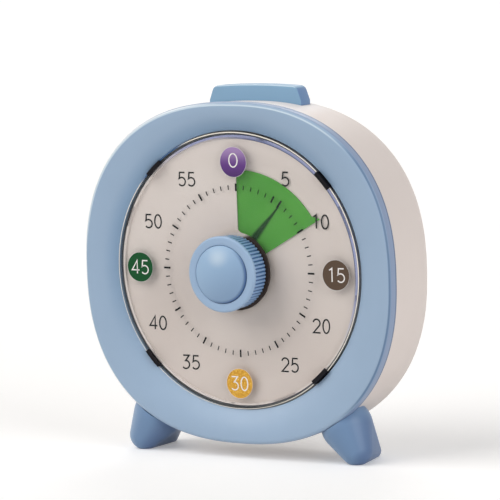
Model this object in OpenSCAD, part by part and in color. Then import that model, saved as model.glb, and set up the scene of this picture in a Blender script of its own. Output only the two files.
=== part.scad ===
// Visual countdown timer: a sixty-minute timer whose coloured disc winds out of a slit in the dial.
// +Z is up, the dial faces -Y, and the feet stand on z = 0.
// Depths are counted backwards from the front rim of the bezel.

/* [Case] */
// Width across the front bezel
case_w = 144; // [138:0.5:154]
// Height of the front bezel
case_h = 139.5; // [136:0.5:150]
// Squareness of the case outline, where 2 is an ellipse
case_power = 2.36; // [2.25:0.01:2.6]
// Depth from the bezel's rim to the back wall
case_depth = 43.5; // [43:0.5:52]
// How far the case outline's centre lies below the dial's centre
case_drop = 1; // [0:0.25:1.5]
// Height of the case's lowest point above the floor
case_lift = 6.25; // [5.5:0.25:9]

/* [Bezel] */
// Depth of the bezel's side band
band_depth = 5.2; // [5:0.1:7]
// Rounding of the bezel's front rim
rim_round = 1.5; // [0.8:0.1:2]
// How far the face is dished in towards the dial
face_dish = 3.5; // [2.5:0.1:4]
// Wall of the bezel
bezel_wall = 2.2; // [1.8:0.1:2.6]
// Width of the bezel's face where it is narrowest
bezel_face = 12.55; // [12.15:0.05:13.25]

/* [Shell] */
// How far the shell's sides lie inside the bezel's
shell_step = 0.8; // [0.4:0.1:1]
// Wall of the shell
shell_wall = 2.4; // [2:0.1:2.6]
// Rounding of the shell's back edge
shell_round = 14; // [10:0.5:15]
// Wall of the shell's locating lip
lip_wall = 1.2; // [1:0.1:1.4]
// Depth of the lip inside the bezel
lip_reach = 2; // [1:0.25:2.5]

/* [Feet] */
// Radius of a foot's round tip
foot_tip_r = 6.6; // [6:0.1:7.6]
// Radius of a foot where it meets the case
foot_root_r = 10.6; // [9.5:0.1:11.4]
// Sideways distance from the case's side in to a front tip
foot_inset = 21.8; // [20:0.2:25]
// Depth of the front tip
foot_front = 8.4; // [7.6:0.2:11]
// Distance from the front tip back to the heel
foot_length = 17; // [16:0.2:18]
// Radius of the heel
foot_heel_r = 3.2; // [3:0.1:4.4]
// How much slimmer the root is over the heel
foot_heel_slim = 4.6; // [2:0.1:5]
// How far the heel reaches behind the root
foot_heel_reach = 4.4; // [2:0.2:6]
// How far the heel is turned in
foot_toe_in = 1.6; // [0:0.2:4]
// Flat ground off the round tip
foot_flat = 0.8; // [0.5:0.1:1.2]
// Rise of the root above the tip
foot_rise = 9; // [8:0.5:12]
// How far the root lies inside the tip
foot_lean = 5.5; // [3:0.5:7]

/* [Lens and dial] */
// Depth of the lens's front face
lens_front = 2.4; // [2.2:0.1:2.8]
// Thickness of the lens
lens_t = 1.4; // [1.2:0.1:1.6]
// Gap between the lens's rim and the window
lens_gap = 0.4; // [0.3:0.05:0.5]
// Clearance between the disc and the lens
lens_clear = 0.3; // [0.2:0.05:0.4]
// Thickness of the dial sheet
dial_t = 0.5; // [0.4:0.05:0.6]
// Thickness of the coloured disc
disc_t = 0.3; // [0.2:0.05:0.4]
// Gap between the disc and the dial
film_gap = 0.2; // [0.15:0.01:0.3]
// Width of the blue ring round the dial
dial_ring_w = 1.2; // [0.8:0.1:2]
// Distance from the dial's edge in to the coloured disc's
disc_inset = 14.7; // [13.7:0.1:17]
// How far the disc's pointed tab stands out of its rim
tab_reach = 2.9; // [2:0.1:3.2]
// Angle that the tab takes up along the rim
tab_span = 4; // [3:0.5:6]
// Width of the slit, as an angle
slit_span = 1.2; // [1:0.1:1.6]
// Minutes shown by the disc as the timer stands
shown_minutes = 10; // [5:1:30]
// How far a clip covers the lens inside the window
clip_cover = 2.2; // [2:0.1:3]
// Angle that a lens clip spans
clip_span = 8.5; // [7:0.5:10]
// Clockwise angle of the first clip
clip_angle = 47.5; // [45:0.5:50]

/* [Dial print] */
// Distance from the dial's edge in to the middle of the minute marks
mark_inset = 21.7; // [21.2:0.1:22.7]
// Length of a minute mark
mark_length = 1.9; // [1.5:0.1:2.2]
// Length of a five-minute mark
long_mark_length = 3.1; // [2.5:0.1:3.4]
// Width of a minute mark
mark_w = 0.45; // [0.3:0.05:0.6]
// Width of a five-minute mark
long_mark_w = 0.75; // [0.5:0.05:0.9]
// Radius of a number spot
spot_r = 6.2; // [5.5:0.1:6.4]
// Distance from the dial's edge in to the middle of the spots
spot_inset = 9.5; // [9.1:0.1:10.7]
// Distance from the dial's edge in to the middle of the top spot
top_spot_inset = 11.3; // [10.7:0.1:12.2]
// Thickness of the printed film
print_t = 0.06; // [0.05:0.01:0.08]

/* [Knob] */
// Radius of the knob's front rim
knob_r = 15.5; // [15.2:0.1:16]
// Radius over the ribs at the back of the knob
knob_back_r = 15; // [14.6:0.1:15.2]
// How far the knob's rim stands in front of the bezel's rim
knob_front = 9.6; // [8.5:0.1:11]
// Radius of the domed cap
cap_r = 11.8; // [11:0.1:12.6]
// Height of the cap's dome
cap_rise = 2.6; // [2:0.1:3.2]
// Number of ribs round the knob
rib_count = 60; // [48:1:72]
// Height of a rib
rib_height = 0.45; // [0.3:0.05:0.6]
// Radius of the knob's neck in the lens
neck_r = 8; // [7:0.1:8.4]
// Radius of the black collar
collar_r = 16; // [15.8:0.1:16.4]
// Thickness of the black collar
collar_t = 1; // [0.8:0.05:1.1]

/* [Top bar] */
// Width of the top bar
bar_w = 43.6; // [38:0.1:46]
// Front-to-back size of the top bar
bar_t = 7.8; // [6.8:0.1:9]
// Height of the bar above the shell
bar_rise = 6.6; // [4.5:0.1:7.5]
// Depth of the bar's middle
bar_depth = 25; // [24:0.25:26]
// Rounding of the bar's top corners
bar_round = 3; // [2:0.1:3.6]
// How far the bar's top ends lie inside its base
bar_lean = 1.3; // [0:0.1:1.6]
// How much higher the bar's middle is than its ends
bar_crown = 0.6; // [0:0.1:1]
// Travel of the bar when pressed
bar_travel = 1.5; // [1:0.1:1.8]
// Clearance round the bar in its opening
bar_gap = 0.3; // [0.2:0.05:0.4]

/* [Movement] */
// Side of the square movement housing
movement_w = 58; // [58:0.5:61]
// Radius of the spindle
spindle_r = 2.5; // [2.3:0.05:2.6]
// Radial running clearance of shafts in bores
run_gap = 0.05; // [0.03:0.01:0.07]
// Thickness of a wheel
wheel_t = 1; // [0.8:0.05:1.1]
// Radius of a wheel's arbor
arbor_r = 0.5; // [0.4:0.05:0.6]
// Teeth on the centre wheel
centre_teeth = 64; // [64:4:64]
// Gear module of the centre wheel
centre_mod = 0.5; // [0.49:0.005:0.51]

/* [Battery and sound] */
// Radius of the AA cell
cell_r = 7.25; // [7:0.05:7.3]
// Length of the AA cell with its nub
cell_length = 50.5; // [49:0.5:51]
// Height of the cell's axis below the dial's centre
cell_drop = 40.5; // [40:0.25:42]
// Radius of the buzzer
buzzer_r = 12; // [10:0.25:12.5]
// Radius of a sound hole
sound_hole_r = 0.9; // [0.6:0.05:1.1]
// Travel of the volume slider to either side
volume_travel = 3; // [2:0.25:3.2]

/* [Hidden] */
$fn = 64;

// Small overlap that keeps cuts clean
cut = 0.1;
// Clearance between pieces that only locate each other
fit = 0.1;
// Hairline between pieces that are fixed to each other
seam = 0.02;

// Case
knob_reach = knob_front + cap_rise;
front_y = (knob_reach - case_depth) / 2;
ring_steps = 72;
round_steps = 5;
shell_front = band_depth;
wall_back = case_depth - shell_wall;
back_middle = case_depth - shell_wall / 2;
shell_top = case_h / 2 - shell_step - case_drop;
dish_steps = 4;

// Lens and dial stack
window_r = min(case_w, case_h) / 2 - bezel_face;
dial_z = case_lift + case_h / 2 + case_drop;
lens_r = window_r - lens_gap;
lens_back = lens_front + lens_t;
pitch = dial_t + disc_t + 2 * film_gap;
dial_top = lens_back + lens_clear + disc_t + film_gap;
dial_low = dial_top + pitch;
disc_back = dial_low - film_gap;
sweep_back = disc_back + pitch;
shown_angle = shown_minutes * 6;
clip_t = 0.8;
clip_web_in = lens_r - 0.9;
clip_web_out = lens_r - 0.1;
dial_r = clip_web_in - 0.2;
dial_edge_r = dial_r - dial_ring_w;
disc_r = dial_r - disc_inset;
mark_r = dial_r - mark_inset;
spot_ring_r = dial_r - spot_inset;
top_spot_r = dial_r - top_spot_inset;
clip_inner_r = window_r - clip_cover;
ramp_end_r = dial_r - 5.7;
ramp_full_r = disc_r + tab_reach + 0.6;
dial_steps = 120;
disc_steps = 90;

// Movement seat behind the dial
bush_front = sweep_back + 0.4;
nut_front = bush_front + 0.2;
nut_t = 2;
floor_front = nut_front + nut_t;
floor_t = 2;
floor_back = floor_front + floor_t;
rim_wall = 4.2;
carrier_r = window_r + 7;
carrier_screw_ring = window_r + 4;
bush_r = 4;
nut_r = 6.4;

// Hub and spindle
hub_r = 9;
drive_w = 6.4;
dial_hole_r = hub_r + 0.8;
neck_back = dial_low - film_gap - disc_t - pitch - lens_clear;
spindle_front = -6;
spindle_thread = 6;
cap_seat = -knob_front + 1.6;
knob_edge = 0.7;
knob_band = 1.5;
rib_step = 0.4;
knob_head_r = 2.2;
knob_head_rise = 0.2;
small_screw_r = 1;
small_screw_gap = 0.2;
collar_front = lens_front - collar_t;
skirt_back = collar_front - 0.4;

// Case screws
boss_r = 3.6;
boss_place = (window_r + 6.44) * sin(45);
boss_end = 16;
well_r = 3.3;
well_wall = 1.6;
well_floor = 24;
screw_r = 1.4;
screw_gap = 0.05;
head_r = 2.7;
head_t = 1.6;

// Movement
cover_screw_at = (movement_w / 2 - 3) * [1, -1];
cover_screw_r = 0.8;
plate_t = 1.4;
movement_front = floor_back;
level_gap = 2;
first_level = movement_front + plate_t + 1.2;
cover_front = movement_front + 10.8;
cover_t = 1.2;
cover_back = cover_front + cover_t;
side_wall = 1.4;
pressure = 20;
tooth_share = 0.9;
clutch_rise = 0.9;
clutch_t = 0.3;
clutch_r = 6;
spring_front = first_level + wheel_t + clutch_rise;
spindle_clip_t = 0.6;
spindle_clip_r = 4.4;
clip_groove = 0.5;
lightening_r = 2.6;
lightening_ring = 10;
wheel_tip = 0.45;
wheel_root = 1.15;
pinion_tip = 0.9;
pinion_root = 0.75;
third_pinion_teeth = 16;
third_teeth = 60;
third_mod = 0.4;
fourth_pinion_teeth = 8;
fourth_teeth = 64;
fourth_mod = 0.3;
fifth_pinion_teeth = 8;
fifth_teeth = 60;
fifth_mod = 0.25;
rotor_pinion_teeth = 8;
third_dir = 45;
fourth_dir = 166;
fifth_dir = 180;
rotor_dir = 225;
third_at = step_to([0, 0], third_dir, centre_mod * (centre_teeth + third_pinion_teeth) / 2);
fourth_at = step_to(third_at, fourth_dir, third_mod * (third_teeth + fourth_pinion_teeth) / 2);
fifth_at = step_to(fourth_at, fifth_dir, fourth_mod * (fourth_teeth + fifth_pinion_teeth) / 2);
rotor_at = step_to(fifth_at, rotor_dir, fifth_mod * (fifth_teeth + rotor_pinion_teeth) / 2);
magnet_r = 2.8;
stator_front = first_level + 2;
stator_t = 1.2;
coil_z = -19;
coil_left = -14;
coil_right = 12;
coil_r = 3.4;
core_w = 2.4;
bobbin_r = 2;
coil_depth = stator_front + stator_t / 2;

// Alarm cam
cam_front = cover_back + 0.5;
cam_t = 1.6;
cam_r = 8;
cam_back = cam_front + cam_t;
spindle_back = cam_back + 0.4;
contact_back = cam_back + 0.8;

// Top bar
bar_top = shell_top + bar_rise;
bar_bottom = shell_top - 6;
well_floor_top = bar_bottom - bar_travel - 2;
bar_floor_t = 1.6;
bar_floor_low = well_floor_top - bar_floor_t;
stem_r = 2;
stem_end = bar_floor_low - 2.5;
leg_r = 1.4;
leg_x = bar_w / 2 - 4.4;
barb_r = 2;
bar_spring_x = 9;
bar_spring_r = 2;
bar_wire_r = 0.25;
bar_spring_turns = 5;
spring_pocket = 4;
switch_top = stem_end - bar_travel - 0.3;
switch_w = 7;
switch_h = 5.6;
plunger_r = 1.5;
plunger_length = bar_travel + 2;
shelf_t = 1.6;
shelf_top = switch_top - switch_h;
shelf_w = 10;

// Board, buzzer and volume slider
pcb_front = 33.4;
pcb_t = 1.6;
pcb_back = pcb_front + pcb_t;
pcb_w = 44;
pcb_low = 8;
pcb_high = 38;
pcb_screw_x = 19;
pcb_screw_low = 11;
pcb_screw_high = 35;
pcb_post_r = 2.6;
chip_at = [0, 28];
chip_r = 4;
resistors_at = [-9, 17];
resistor_pitch = 6;
capacitor_at = [13, 31];
capacitor_r = 2.5;
capacitor_h = 6;
crystal_at = [-10, 24];
crystal_r = 1.5;
volume_x = 10;
volume_z = 24;
volume_body_w = 13;
volume_body_h = 6;
volume_body_t = 3;
slider_w = 5.2;
slider_h = 5.4;
slider_stem_w = 2.4;
slider_stem_h = 2.6;
pocket_depth = 1;
buzzer_x = 34 - case_w / 2;
buzzer_z = 24;
buzzer_t = 6;
buzzer_wall = 1.4;
sound_hole_pitch = 3.6;

// Battery bay
bay_gap = 0.9;
bay_half_h = cell_r + bay_gap;
contact_t = 0.5;
spring_room = 6.5;
bay_half_w = (cell_length + spring_room + 2 * contact_t) / 2;
bay_wall = 1.4;
door_t = 2.2;
door_plate_t = 1.2;
door_edge = 1.4;
door_gap = 0.2;
door_inner = case_depth - door_t;
cell_depth = door_inner - 0.3 - cell_r;
bay_floor = cell_depth - cell_r - 0.2;
tab_depth = 30;
tab_z = -cell_drop + 5;
tab_end = bay_half_w + 2.6;
cell_start = -bay_half_w + contact_t + spring_room;
cell_spring_r = 5.2;
cell_wire_r = 0.35;
nub_r = 2.75;
nub_t = 1;

// Feet
foot_tip_z = foot_tip_r - foot_flat;
foot_rear = foot_front + foot_length;
foot_x = case_w / 2 - foot_inset;
foot_root_x = foot_x - foot_lean;
foot_screw_turn = 145;
foot_screw_lean = 24;
foot_screw_r = 1.2;
foot_screw_length = 9;
foot_screw_head_r = 2.4;
foot_screw_head_t = 1.6;
foot_screw_seat = 0.4;

// Leads, each as points of x, height above the dial's centre, and depth
lead_r = 0.6;
lead_plus_route = [[tab_end, tab_z, tab_depth + 0.2], [tab_end + 1.2, tab_z, tab_depth + 0.2],
    [tab_end + 4, tab_z + 2.5, 30], [tab_end + 5, -22, 29], [34, -6, 28.5],
    [26, 6, 28.5], [17, 11, 28.8], [13.4, 12, 30.4], [13, 12, 32.2], [13, 12, pcb_front]];
lead_minus_route = [for (p = lead_plus_route) [-p[0], p[1], p[2]]];
buzzer_lead_route = [[buzzer_x + 6, buzzer_z + 3, wall_back - buzzer_t],
    [buzzer_x + 6, buzzer_z + 3, wall_back - buzzer_t - 1.2], [buzzer_x + 7, buzzer_z + 3, 31.4],
    [-26, buzzer_z + 3, 30.4], [-20.4, buzzer_z + 3, 30.6], [-19, buzzer_z + 3, 32.2],
    [-19, buzzer_z + 3, pcb_front]];
contact_lead_route = [[17.5, -3, contact_back], [17.5, -3, contact_back + 1.2], [17.5, 0, 29], [16.5, 4, 30],
    [13, 8, 30], [8.6, 11, 30.6], [8, 11, 32.2], [8, 11, pcb_front]];
coil_lead_route = [[-20, -8, cover_back], [-20, -8, cover_back + 1.2], [-19.6, -6, 27], [-17, 1, 29.4],
    [-12, 8, 29.8], [-8.4, 11, 30.6], [-8, 11, 32.2], [-8, 11, pcb_front]];

// ---------- helpers ----------

// Point at a distance and a direction from another
function step_to(from, dir, distance) = from + distance * [cos(dir), sin(dir)];

// Face frame: x to the right, y up, z towards the viewer, from the bezel's rim at the dial's centre
module face() { translate([0, front_y, dial_z]) rotate([90, 0, 0]) children(); }

// A flat shape between two depths
module slab(front, back) { translate([0, 0, -back]) linear_extrude(height = back - front) children(); }

// A round bar between two depths
module rod(r, front, back, at = [0, 0]) {
    translate([at[0], at[1], -back]) cylinder(r = r, h = back - front);
}

// A ring between two depths
module tube(outer, inner, front, back, at = [0, 0]) {
    difference() {
        rod(outer, front, back, at);
        rod(inner, front - cut, back + cut, at);
    }
}

// A box between two depths, by its middle and size
module block(at, size, front, back) {
    translate([at[0] - size[0] / 2, at[1] - size[1] / 2, -back]) cube([size[0], size[1], back - front]);
}

// A pan-head screw that is driven from behind
module screw_from_back(at, head_at, tip, r = screw_r, head = head_r, head_height = head_t) {
    rod(r, tip, head_at + cut, at);
    difference() {
        rod(head, head_at, head_at + head_height, at);
        block(at, [head * 1.3, head * 0.3], head_at + head_height * 0.5, head_at + head_height + cut);
        block(at, [head * 0.3, head * 1.3], head_at + head_height * 0.5, head_at + head_height + cut);
    }
}

// Distance from the outline's centre to the case outline at a clockwise angle
function case_reach(turn, inset) =
    pow(pow(abs(sin(turn)) / (case_w / 2 - inset), case_power)
      + pow(abs(cos(turn)) / (case_h / 2 - inset), case_power), -1 / case_power);
function case_ring(inset, depth) = [for (k = [0:ring_steps - 1])
    let (turn = k * 360 / ring_steps, r = case_reach(turn, inset))
    [r * sin(turn), r * cos(turn) - case_drop, -depth]];
function window_ring(r, depth) = [for (k = [0:ring_steps - 1])
    let (turn = k * 360 / ring_steps) [r * sin(turn), r * cos(turn), -depth]];
// Ring a share of the way from the case outline to the window, and its dished depth
function dish_depth(share) = face_dish * share * share;
function dish_ring(share, behind) =
    let (outer = case_ring(rim_round, dish_depth(share) + behind),
         inner = window_ring(window_r, dish_depth(share) + behind))
    [for (k = [0:ring_steps - 1]) outer[k] * (1 - share) + inner[k] * share];

// Flat list of the points of some rings
function all_points(rings) = [for (ring = rings) each ring];
// Side faces between rings, closed on themselves when loop is true
function side_faces(rings, steps, loop) = [for (i = [0:rings - (loop ? 1 : 2)]) for (k = [0:steps - 1])
    let (j = (i + 1) % rings, n = (k + 1) % steps)
    each [[i * steps + k, i * steps + n, j * steps + n], [i * steps + k, j * steps + n, j * steps + k]]];

// Solid between stacked rings, with flat ends
module stack(rings) {
    steps = len(rings[0]);
    count = len(rings);
    polyhedron(points = all_points(rings), faces = concat(
        [for (face = side_faces(count, steps, false)) [face[2], face[1], face[0]]],
        [[for (k = [0:steps - 1]) k]],
        [[for (k = [0:steps - 1]) count * steps - 1 - k]]), convexity = 6);
}

// Ring-shaped solid whose cross-section runs through the rings and closes on itself
module ring_body(rings) {
    polyhedron(points = all_points(rings), faces = side_faces(len(rings), len(rings[0]), true),
        convexity = 8);
}

// Case-shaped solid with a rounded back edge
module case_form(inset, front, back, round) {
    stack(concat([case_ring(inset, front)],
        [for (i = [0:round_steps]) let (a = 90 * i / round_steps)
            case_ring(inset + round * (1 - cos(a)), back - round * (1 - sin(a)))]));
}

// Direction along a path at one of its points
function heading(path, i) =
    let (a = path[max(i - 1, 0)], b = path[min(i + 1, len(path) - 1)], d = b - a) d / norm(d);
// Unit vector square to a heading, as near as may be to another vector
function square_to(v, t) = let (flat = v - (v * t) * t) flat / norm(flat);
// Such a vector at every point of a path, carried along without twist
function carried(path, side) =
    [for (i = 0, v = square_to(side, heading(path, 0)); i < len(path);
        i = i + 1, v = square_to(v, heading(path, min(i, len(path) - 1)))) v];
// Ring of points round a point, square to a heading
function wire_ring(at, t, v, r) =
    let (w = cross(t, v), sides = 8)
    [for (k = [0:sides - 1]) at + r * (cos(k * 360 / sides) * v + sin(k * 360 / sides) * w)];
// Round wire along a path
module wire(path, r, side) {
    across = carried(path, side);
    stack([for (i = [0:len(path) - 1]) wire_ring(path[i], heading(path, i), across[i], r)]);
}
// Smooth path through hand-set points, straight at both ends
function curve_point(a, b, c, d, t) =
    0.5 * (2 * b + (c - a) * t + (2 * a - 5 * b + 4 * c - d) * t * t + (3 * b - a - 3 * c + d) * t * t * t);
function smooth_path(route, steps) =
    let (last = len(route) - 1)
    concat([route[0]],
        [for (i = [1:last - 2]) for (s = [0:steps - 1])
            curve_point(route[i - 1], route[i], route[i + 1], route[i + 2], s / steps)],
        [route[last - 1], route[last]]);
module lead(route) {
    face() wire(smooth_path([for (p = route) [p[0], p[1], -p[2]]], 3), lead_r, [0.3, 0.9, 0.2]);
}
// Helix along z whose radius goes from one value to another
function helix(r0, r1, z0, z1, turns, steps) = [for (i = [0:turns * steps])
    let (s = i / (turns * steps), r = r0 + (r1 - r0) * s, a = 360 * turns * s)
    [r * cos(a), r * sin(a), z0 + (z1 - z0) * s]];

// Involute helpers, in degrees
function involute(a) = tan(a) * 180 / PI - a;
function flank(pitch_r, half, r) =
    let (base_r = pitch_r * cos(pressure))
    half + involute(pressure) - involute(acos(min(1, base_r / max(r, base_r))));
// Outline of a gear, with one tooth centred on the x axis
function gear_points(teeth, mod, tip, root) =
    let (pitch_r = teeth * mod / 2, tip_r = pitch_r + tip * mod, root_r = pitch_r - root * mod,
         half = 90 * tooth_share / teeth, low = flank(pitch_r, half, root_r),
         mid = flank(pitch_r, half, pitch_r), high = flank(pitch_r, half, tip_r))
    [for (k = [0:teeth - 1]) for (p = [[root_r, -low], [pitch_r, -mid], [tip_r, -high],
                                       [tip_r, high], [pitch_r, mid], [root_r, low]])
        let (a = k * 360 / teeth + p[1]) p[0] * [cos(a), sin(a)]];
module gear(at, teeth, mod, tip, root, turn, front, back) {
    translate([at[0], at[1], 0]) rotate([0, 0, turn])
        slab(front, back) polygon(gear_points(teeth, mod, tip, root));
}
// A wheel with its pinion and arbor, running between the movement's plates
module wheel_set(at, teeth, mod, wheel_turn, level, pinion_teeth, pinion_mod, pinion_turn, pinion_level) {
    front = first_level + level * level_gap;
    pinion_front = first_level + pinion_level * level_gap;
    gear(at, teeth, mod, wheel_tip, wheel_root, wheel_turn, front, front + wheel_t);
    gear(at, pinion_teeth, pinion_mod, pinion_tip, pinion_root, pinion_turn,
        pinion_front - 0.2, pinion_front + wheel_t + 0.2);
    rod(arbor_r + 0.3, first_level - 0.8, cover_front - 0.4, at);
    rod(arbor_r, movement_front + 0.3, cover_back - 0.2, at);
}

// ---------- case ----------

module front_bezel() color([0.55, 0.66, 0.77]) face() {
    difference() {
        union() {
            ring_body(concat(
                [case_ring(0, band_depth)],
                [for (i = [0:3]) let (a = 30 * i)
                    case_ring(rim_round * (1 - cos(a)), rim_round * (1 - sin(a)))],
                [for (i = [1:dish_steps]) dish_ring(i / dish_steps, 0)],
                [for (i = [0:dish_steps]) dish_ring(1 - i / dish_steps, bezel_wall)],
                [case_ring(bezel_wall, bezel_wall + 1), case_ring(bezel_wall, band_depth)]));
            for (sx = [-1, 1]) for (sz = [-1, 1])
                rod(boss_r, bezel_wall, boss_end, [sx * boss_place, sz * boss_place]);
            for (turn = [0:90:270]) rotate([0, 0, turn])
                rod(boss_r * 0.75, bezel_wall + 1, floor_front, [carrier_screw_ring, 0]);
        }
        for (sx = [-1, 1]) for (sz = [-1, 1])
            rod(screw_r + screw_gap, bezel_wall + 3, boss_end + cut, [sx * boss_place, sz * boss_place]);
        for (turn = [0:90:270]) rotate([0, 0, turn])
            rod(1 + screw_gap, bezel_wall + 2.4, floor_front + cut, [carrier_screw_ring, 0]);
    }
}

module bay_box(grow, front, back) {
    block([0, -cell_drop], [2 * (bay_half_w + grow), 2 * (bay_half_h + grow)], front, back);
}

module bar_well(grow) {
    translate([-bar_w / 2 - bar_gap - grow, well_floor_top, -bar_depth - bar_t / 2 - bar_gap - grow])
        cube([bar_w + 2 * (bar_gap + grow), bar_top - well_floor_top, bar_t + 2 * (bar_gap + grow)]);
}

module shell_fittings() {
    for (sx = [-1, 1]) for (sz = [-1, 1])
        rod(well_r + well_wall, boss_end, case_depth, [sx * boss_place, sz * boss_place]);
    bay_box(bay_wall, bay_floor - bay_wall, case_depth);
    for (x = [-pcb_screw_x, pcb_screw_x]) for (z = [pcb_screw_low, pcb_screw_high])
        rod(pcb_post_r, pcb_back, case_depth, [x, z]);
    tube(buzzer_r + fit + buzzer_wall, buzzer_r + fit, wall_back - buzzer_t * 0.7, case_depth,
        [buzzer_x, buzzer_z]);
    bar_well(1.5);
    translate([-bar_w / 2 - bar_gap - 1.5, bar_floor_low, -bar_depth - bar_t / 2 - bar_gap - 1.5])
        cube([bar_w + 2 * bar_gap + 3, bar_floor_t + cut, bar_t + 2 * bar_gap + 3]);
    block([0, shelf_top - shelf_t / 2], [shelf_w, shelf_t], bar_depth - switch_w / 2, case_depth);
}

module sound_holes() {
    for (i = [-2:2]) for (j = [-2:2])
        if (abs(i + j) <= 2)
            rod(sound_hole_r, wall_back - 1, case_depth + cut,
                [buzzer_x + sound_hole_pitch * (i + j / 2), buzzer_z + sound_hole_pitch * j * sin(60)]);
}

module rear_shell() color([0.85, 0.81, 0.79]) face() {
    difference() {
        union() {
            difference() {
                case_form(shell_step, shell_front, case_depth, shell_round);
                case_form(shell_step + shell_wall, shell_front - 1, wall_back, shell_round - shell_wall);
            }
            difference() {
                case_form(bezel_wall + fit, shell_front - lip_reach, shell_front + 3, 0.5);
                case_form(bezel_wall + fit + lip_wall, shell_front - lip_reach - 1, shell_front + 4, 0.5);
            }
            intersection() {
                case_form(shell_step + shell_wall / 2, shell_front, back_middle,
                    shell_round - shell_wall / 2);
                shell_fittings();
            }
        }
        for (sx = [-1, 1]) for (sz = [-1, 1]) {
            rod(well_r, well_floor, case_depth + cut, [sx * boss_place, sz * boss_place]);
            rod(screw_r + 0.3, boss_end - cut, well_floor + cut, [sx * boss_place, sz * boss_place]);
        }
        bay_box(0, bay_floor, case_depth + cut);
        bay_box(door_edge, case_depth - door_plate_t, case_depth + cut);
        for (side = [-1, 1])
            block([side * (bay_half_w + bay_wall / 2), tab_z], [bay_wall + 2 * cut, 3.4],
                tab_depth - 0.2, tab_depth + 0.6);
        for (x = [-pcb_screw_x, pcb_screw_x]) for (z = [pcb_screw_low, pcb_screw_high])
            rod(1 + screw_gap, pcb_back - cut, wall_back - 1, [x, z]);
        sound_holes();
        bar_well(0);
        translate([0, bar_floor_low - cut, -bar_depth]) rotate([-90, 0, 0])
            cylinder(r = stem_r + run_gap, h = bar_floor_t + 3 * cut);
        for (x = [-leg_x, leg_x]) translate([x, bar_floor_low - cut, -bar_depth]) rotate([-90, 0, 0])
            cylinder(r = leg_r + run_gap, h = bar_floor_t + 3 * cut);
        block([volume_x, volume_z], [2 * volume_travel + slider_w + 1.2, slider_h + 1],
            case_depth - pocket_depth, case_depth + cut);
        block([volume_x, volume_z], [2 * volume_travel + slider_stem_w + 1, slider_stem_h + 0.4],
            wall_back - 1, case_depth);
        foot_screw_cut(1);
        foot_screw_cut(-1);
    }
}

// ---------- feet ----------

module foot_ball(x, depth, z, r, side) {
    translate([side * x, z - dial_z, -depth]) sphere(r = r, $fn = 32);
}

module foot_form(side) {
    hull() {
        foot_ball(foot_x, foot_front, foot_tip_z, foot_tip_r, side);
        foot_ball(foot_x - foot_toe_in, foot_rear, foot_heel_r - foot_flat, foot_heel_r, side);
        foot_ball(foot_root_x, foot_front + 2.5, foot_tip_z + foot_rise, foot_root_r, side);
        foot_ball(foot_root_x - foot_toe_in, foot_rear - foot_heel_reach, foot_tip_z + foot_rise,
            foot_root_r - foot_heel_slim, side);
    }
}

// Frame of a foot's screw, from the shell's inner face: z along the screw, out of the case
module foot_screw_frame(side) {
    reach = case_reach(foot_screw_turn, shell_step + shell_wall);
    translate([side * reach * sin(foot_screw_turn), reach * cos(foot_screw_turn) - case_drop,
        -(foot_front + foot_rear) / 2])
        rotate([90, 0, 0]) rotate([0, side * foot_screw_lean, 0]) children();
}
// Hole through the shell, with a flat seat for the screw's head
module foot_screw_cut(side) {
    foot_screw_frame(side) translate([0, 0, -foot_screw_head_t]) {
        cylinder(r = foot_screw_r + 0.2, h = foot_screw_length);
        cylinder(r = foot_screw_head_r + 0.3, h = foot_screw_head_t + foot_screw_seat);
    }
}

module foot(side) color([0.5, 0.62, 0.76]) {
    face() difference() {
        foot_form(side);
        case_form(shell_step, shell_front - 1, case_depth, shell_round);
        slab(-1, shell_front + fit) polygon([for (p = case_ring(-fit, 0)) [p[0], p[1]]]);
        translate([-case_w, -dial_z - 20, -case_depth]) cube([2 * case_w, 20, case_depth + 20]);
        foot_screw_frame(side) cylinder(r = foot_screw_r + screw_gap, h = foot_screw_length + 0.5);
    }
}
module foot_left() foot(-1);
module foot_right() foot(1);

module foot_screws() color("silver") face() for (side = [-1, 1]) foot_screw_frame(side) {
    cylinder(r = foot_screw_r, h = foot_screw_length);
    translate([0, 0, foot_screw_seat - foot_screw_head_t])
        cylinder(r = foot_screw_head_r, h = foot_screw_head_t);
}

// ---------- screws ----------

module case_screws() color("silver") face() for (sx = [-1, 1]) for (sz = [-1, 1])
    screw_from_back([sx * boss_place, sz * boss_place], well_floor, bezel_wall + 4);

module carrier_screws() color("silver") face() for (turn = [0:90:270]) rotate([0, 0, turn])
    screw_from_back([carrier_screw_ring, 0], floor_back, bezel_wall + 3, 1, 2.2, 1.3);

module pcb_screws() color("silver") face()
    for (x = [-pcb_screw_x, pcb_screw_x]) for (z = [pcb_screw_low, pcb_screw_high]) {
        rod(1, pcb_front - cut, wall_back - 1.4, [x, z]);
        difference() {
            rod(2, pcb_front - 1.2, pcb_front, [x, z]);
            block([x, z], [2.8, 0.6], pcb_front - 1.2 - cut, pcb_front - 0.6);
        }
    }

// ---------- lens and dial ----------

// Ring sector between two radii, two depths and two clockwise angles
module sector(inner, outer, front, back, from, to) {
    rotate([0, 0, 90 - to]) translate([0, 0, -back])
        rotate_extrude(angle = to - from, $fn = 128) translate([inner, 0])
            square([outer - inner, back - front]);
}

module lens() color([0.9, 0.95, 1, 0.3]) face() difference() {
    rod(lens_r, lens_front, lens_back, $fn = 128);
    rod(neck_r + run_gap, lens_front - cut, lens_back + cut);
    for (i = [0:3])
        sector(clip_web_in - fit, lens_r + 1, lens_front - cut, lens_back + cut,
            clip_angle + 90 * i - clip_span / 2 - 0.2, clip_angle + 90 * i + clip_span / 2 + 0.2);
}

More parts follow.
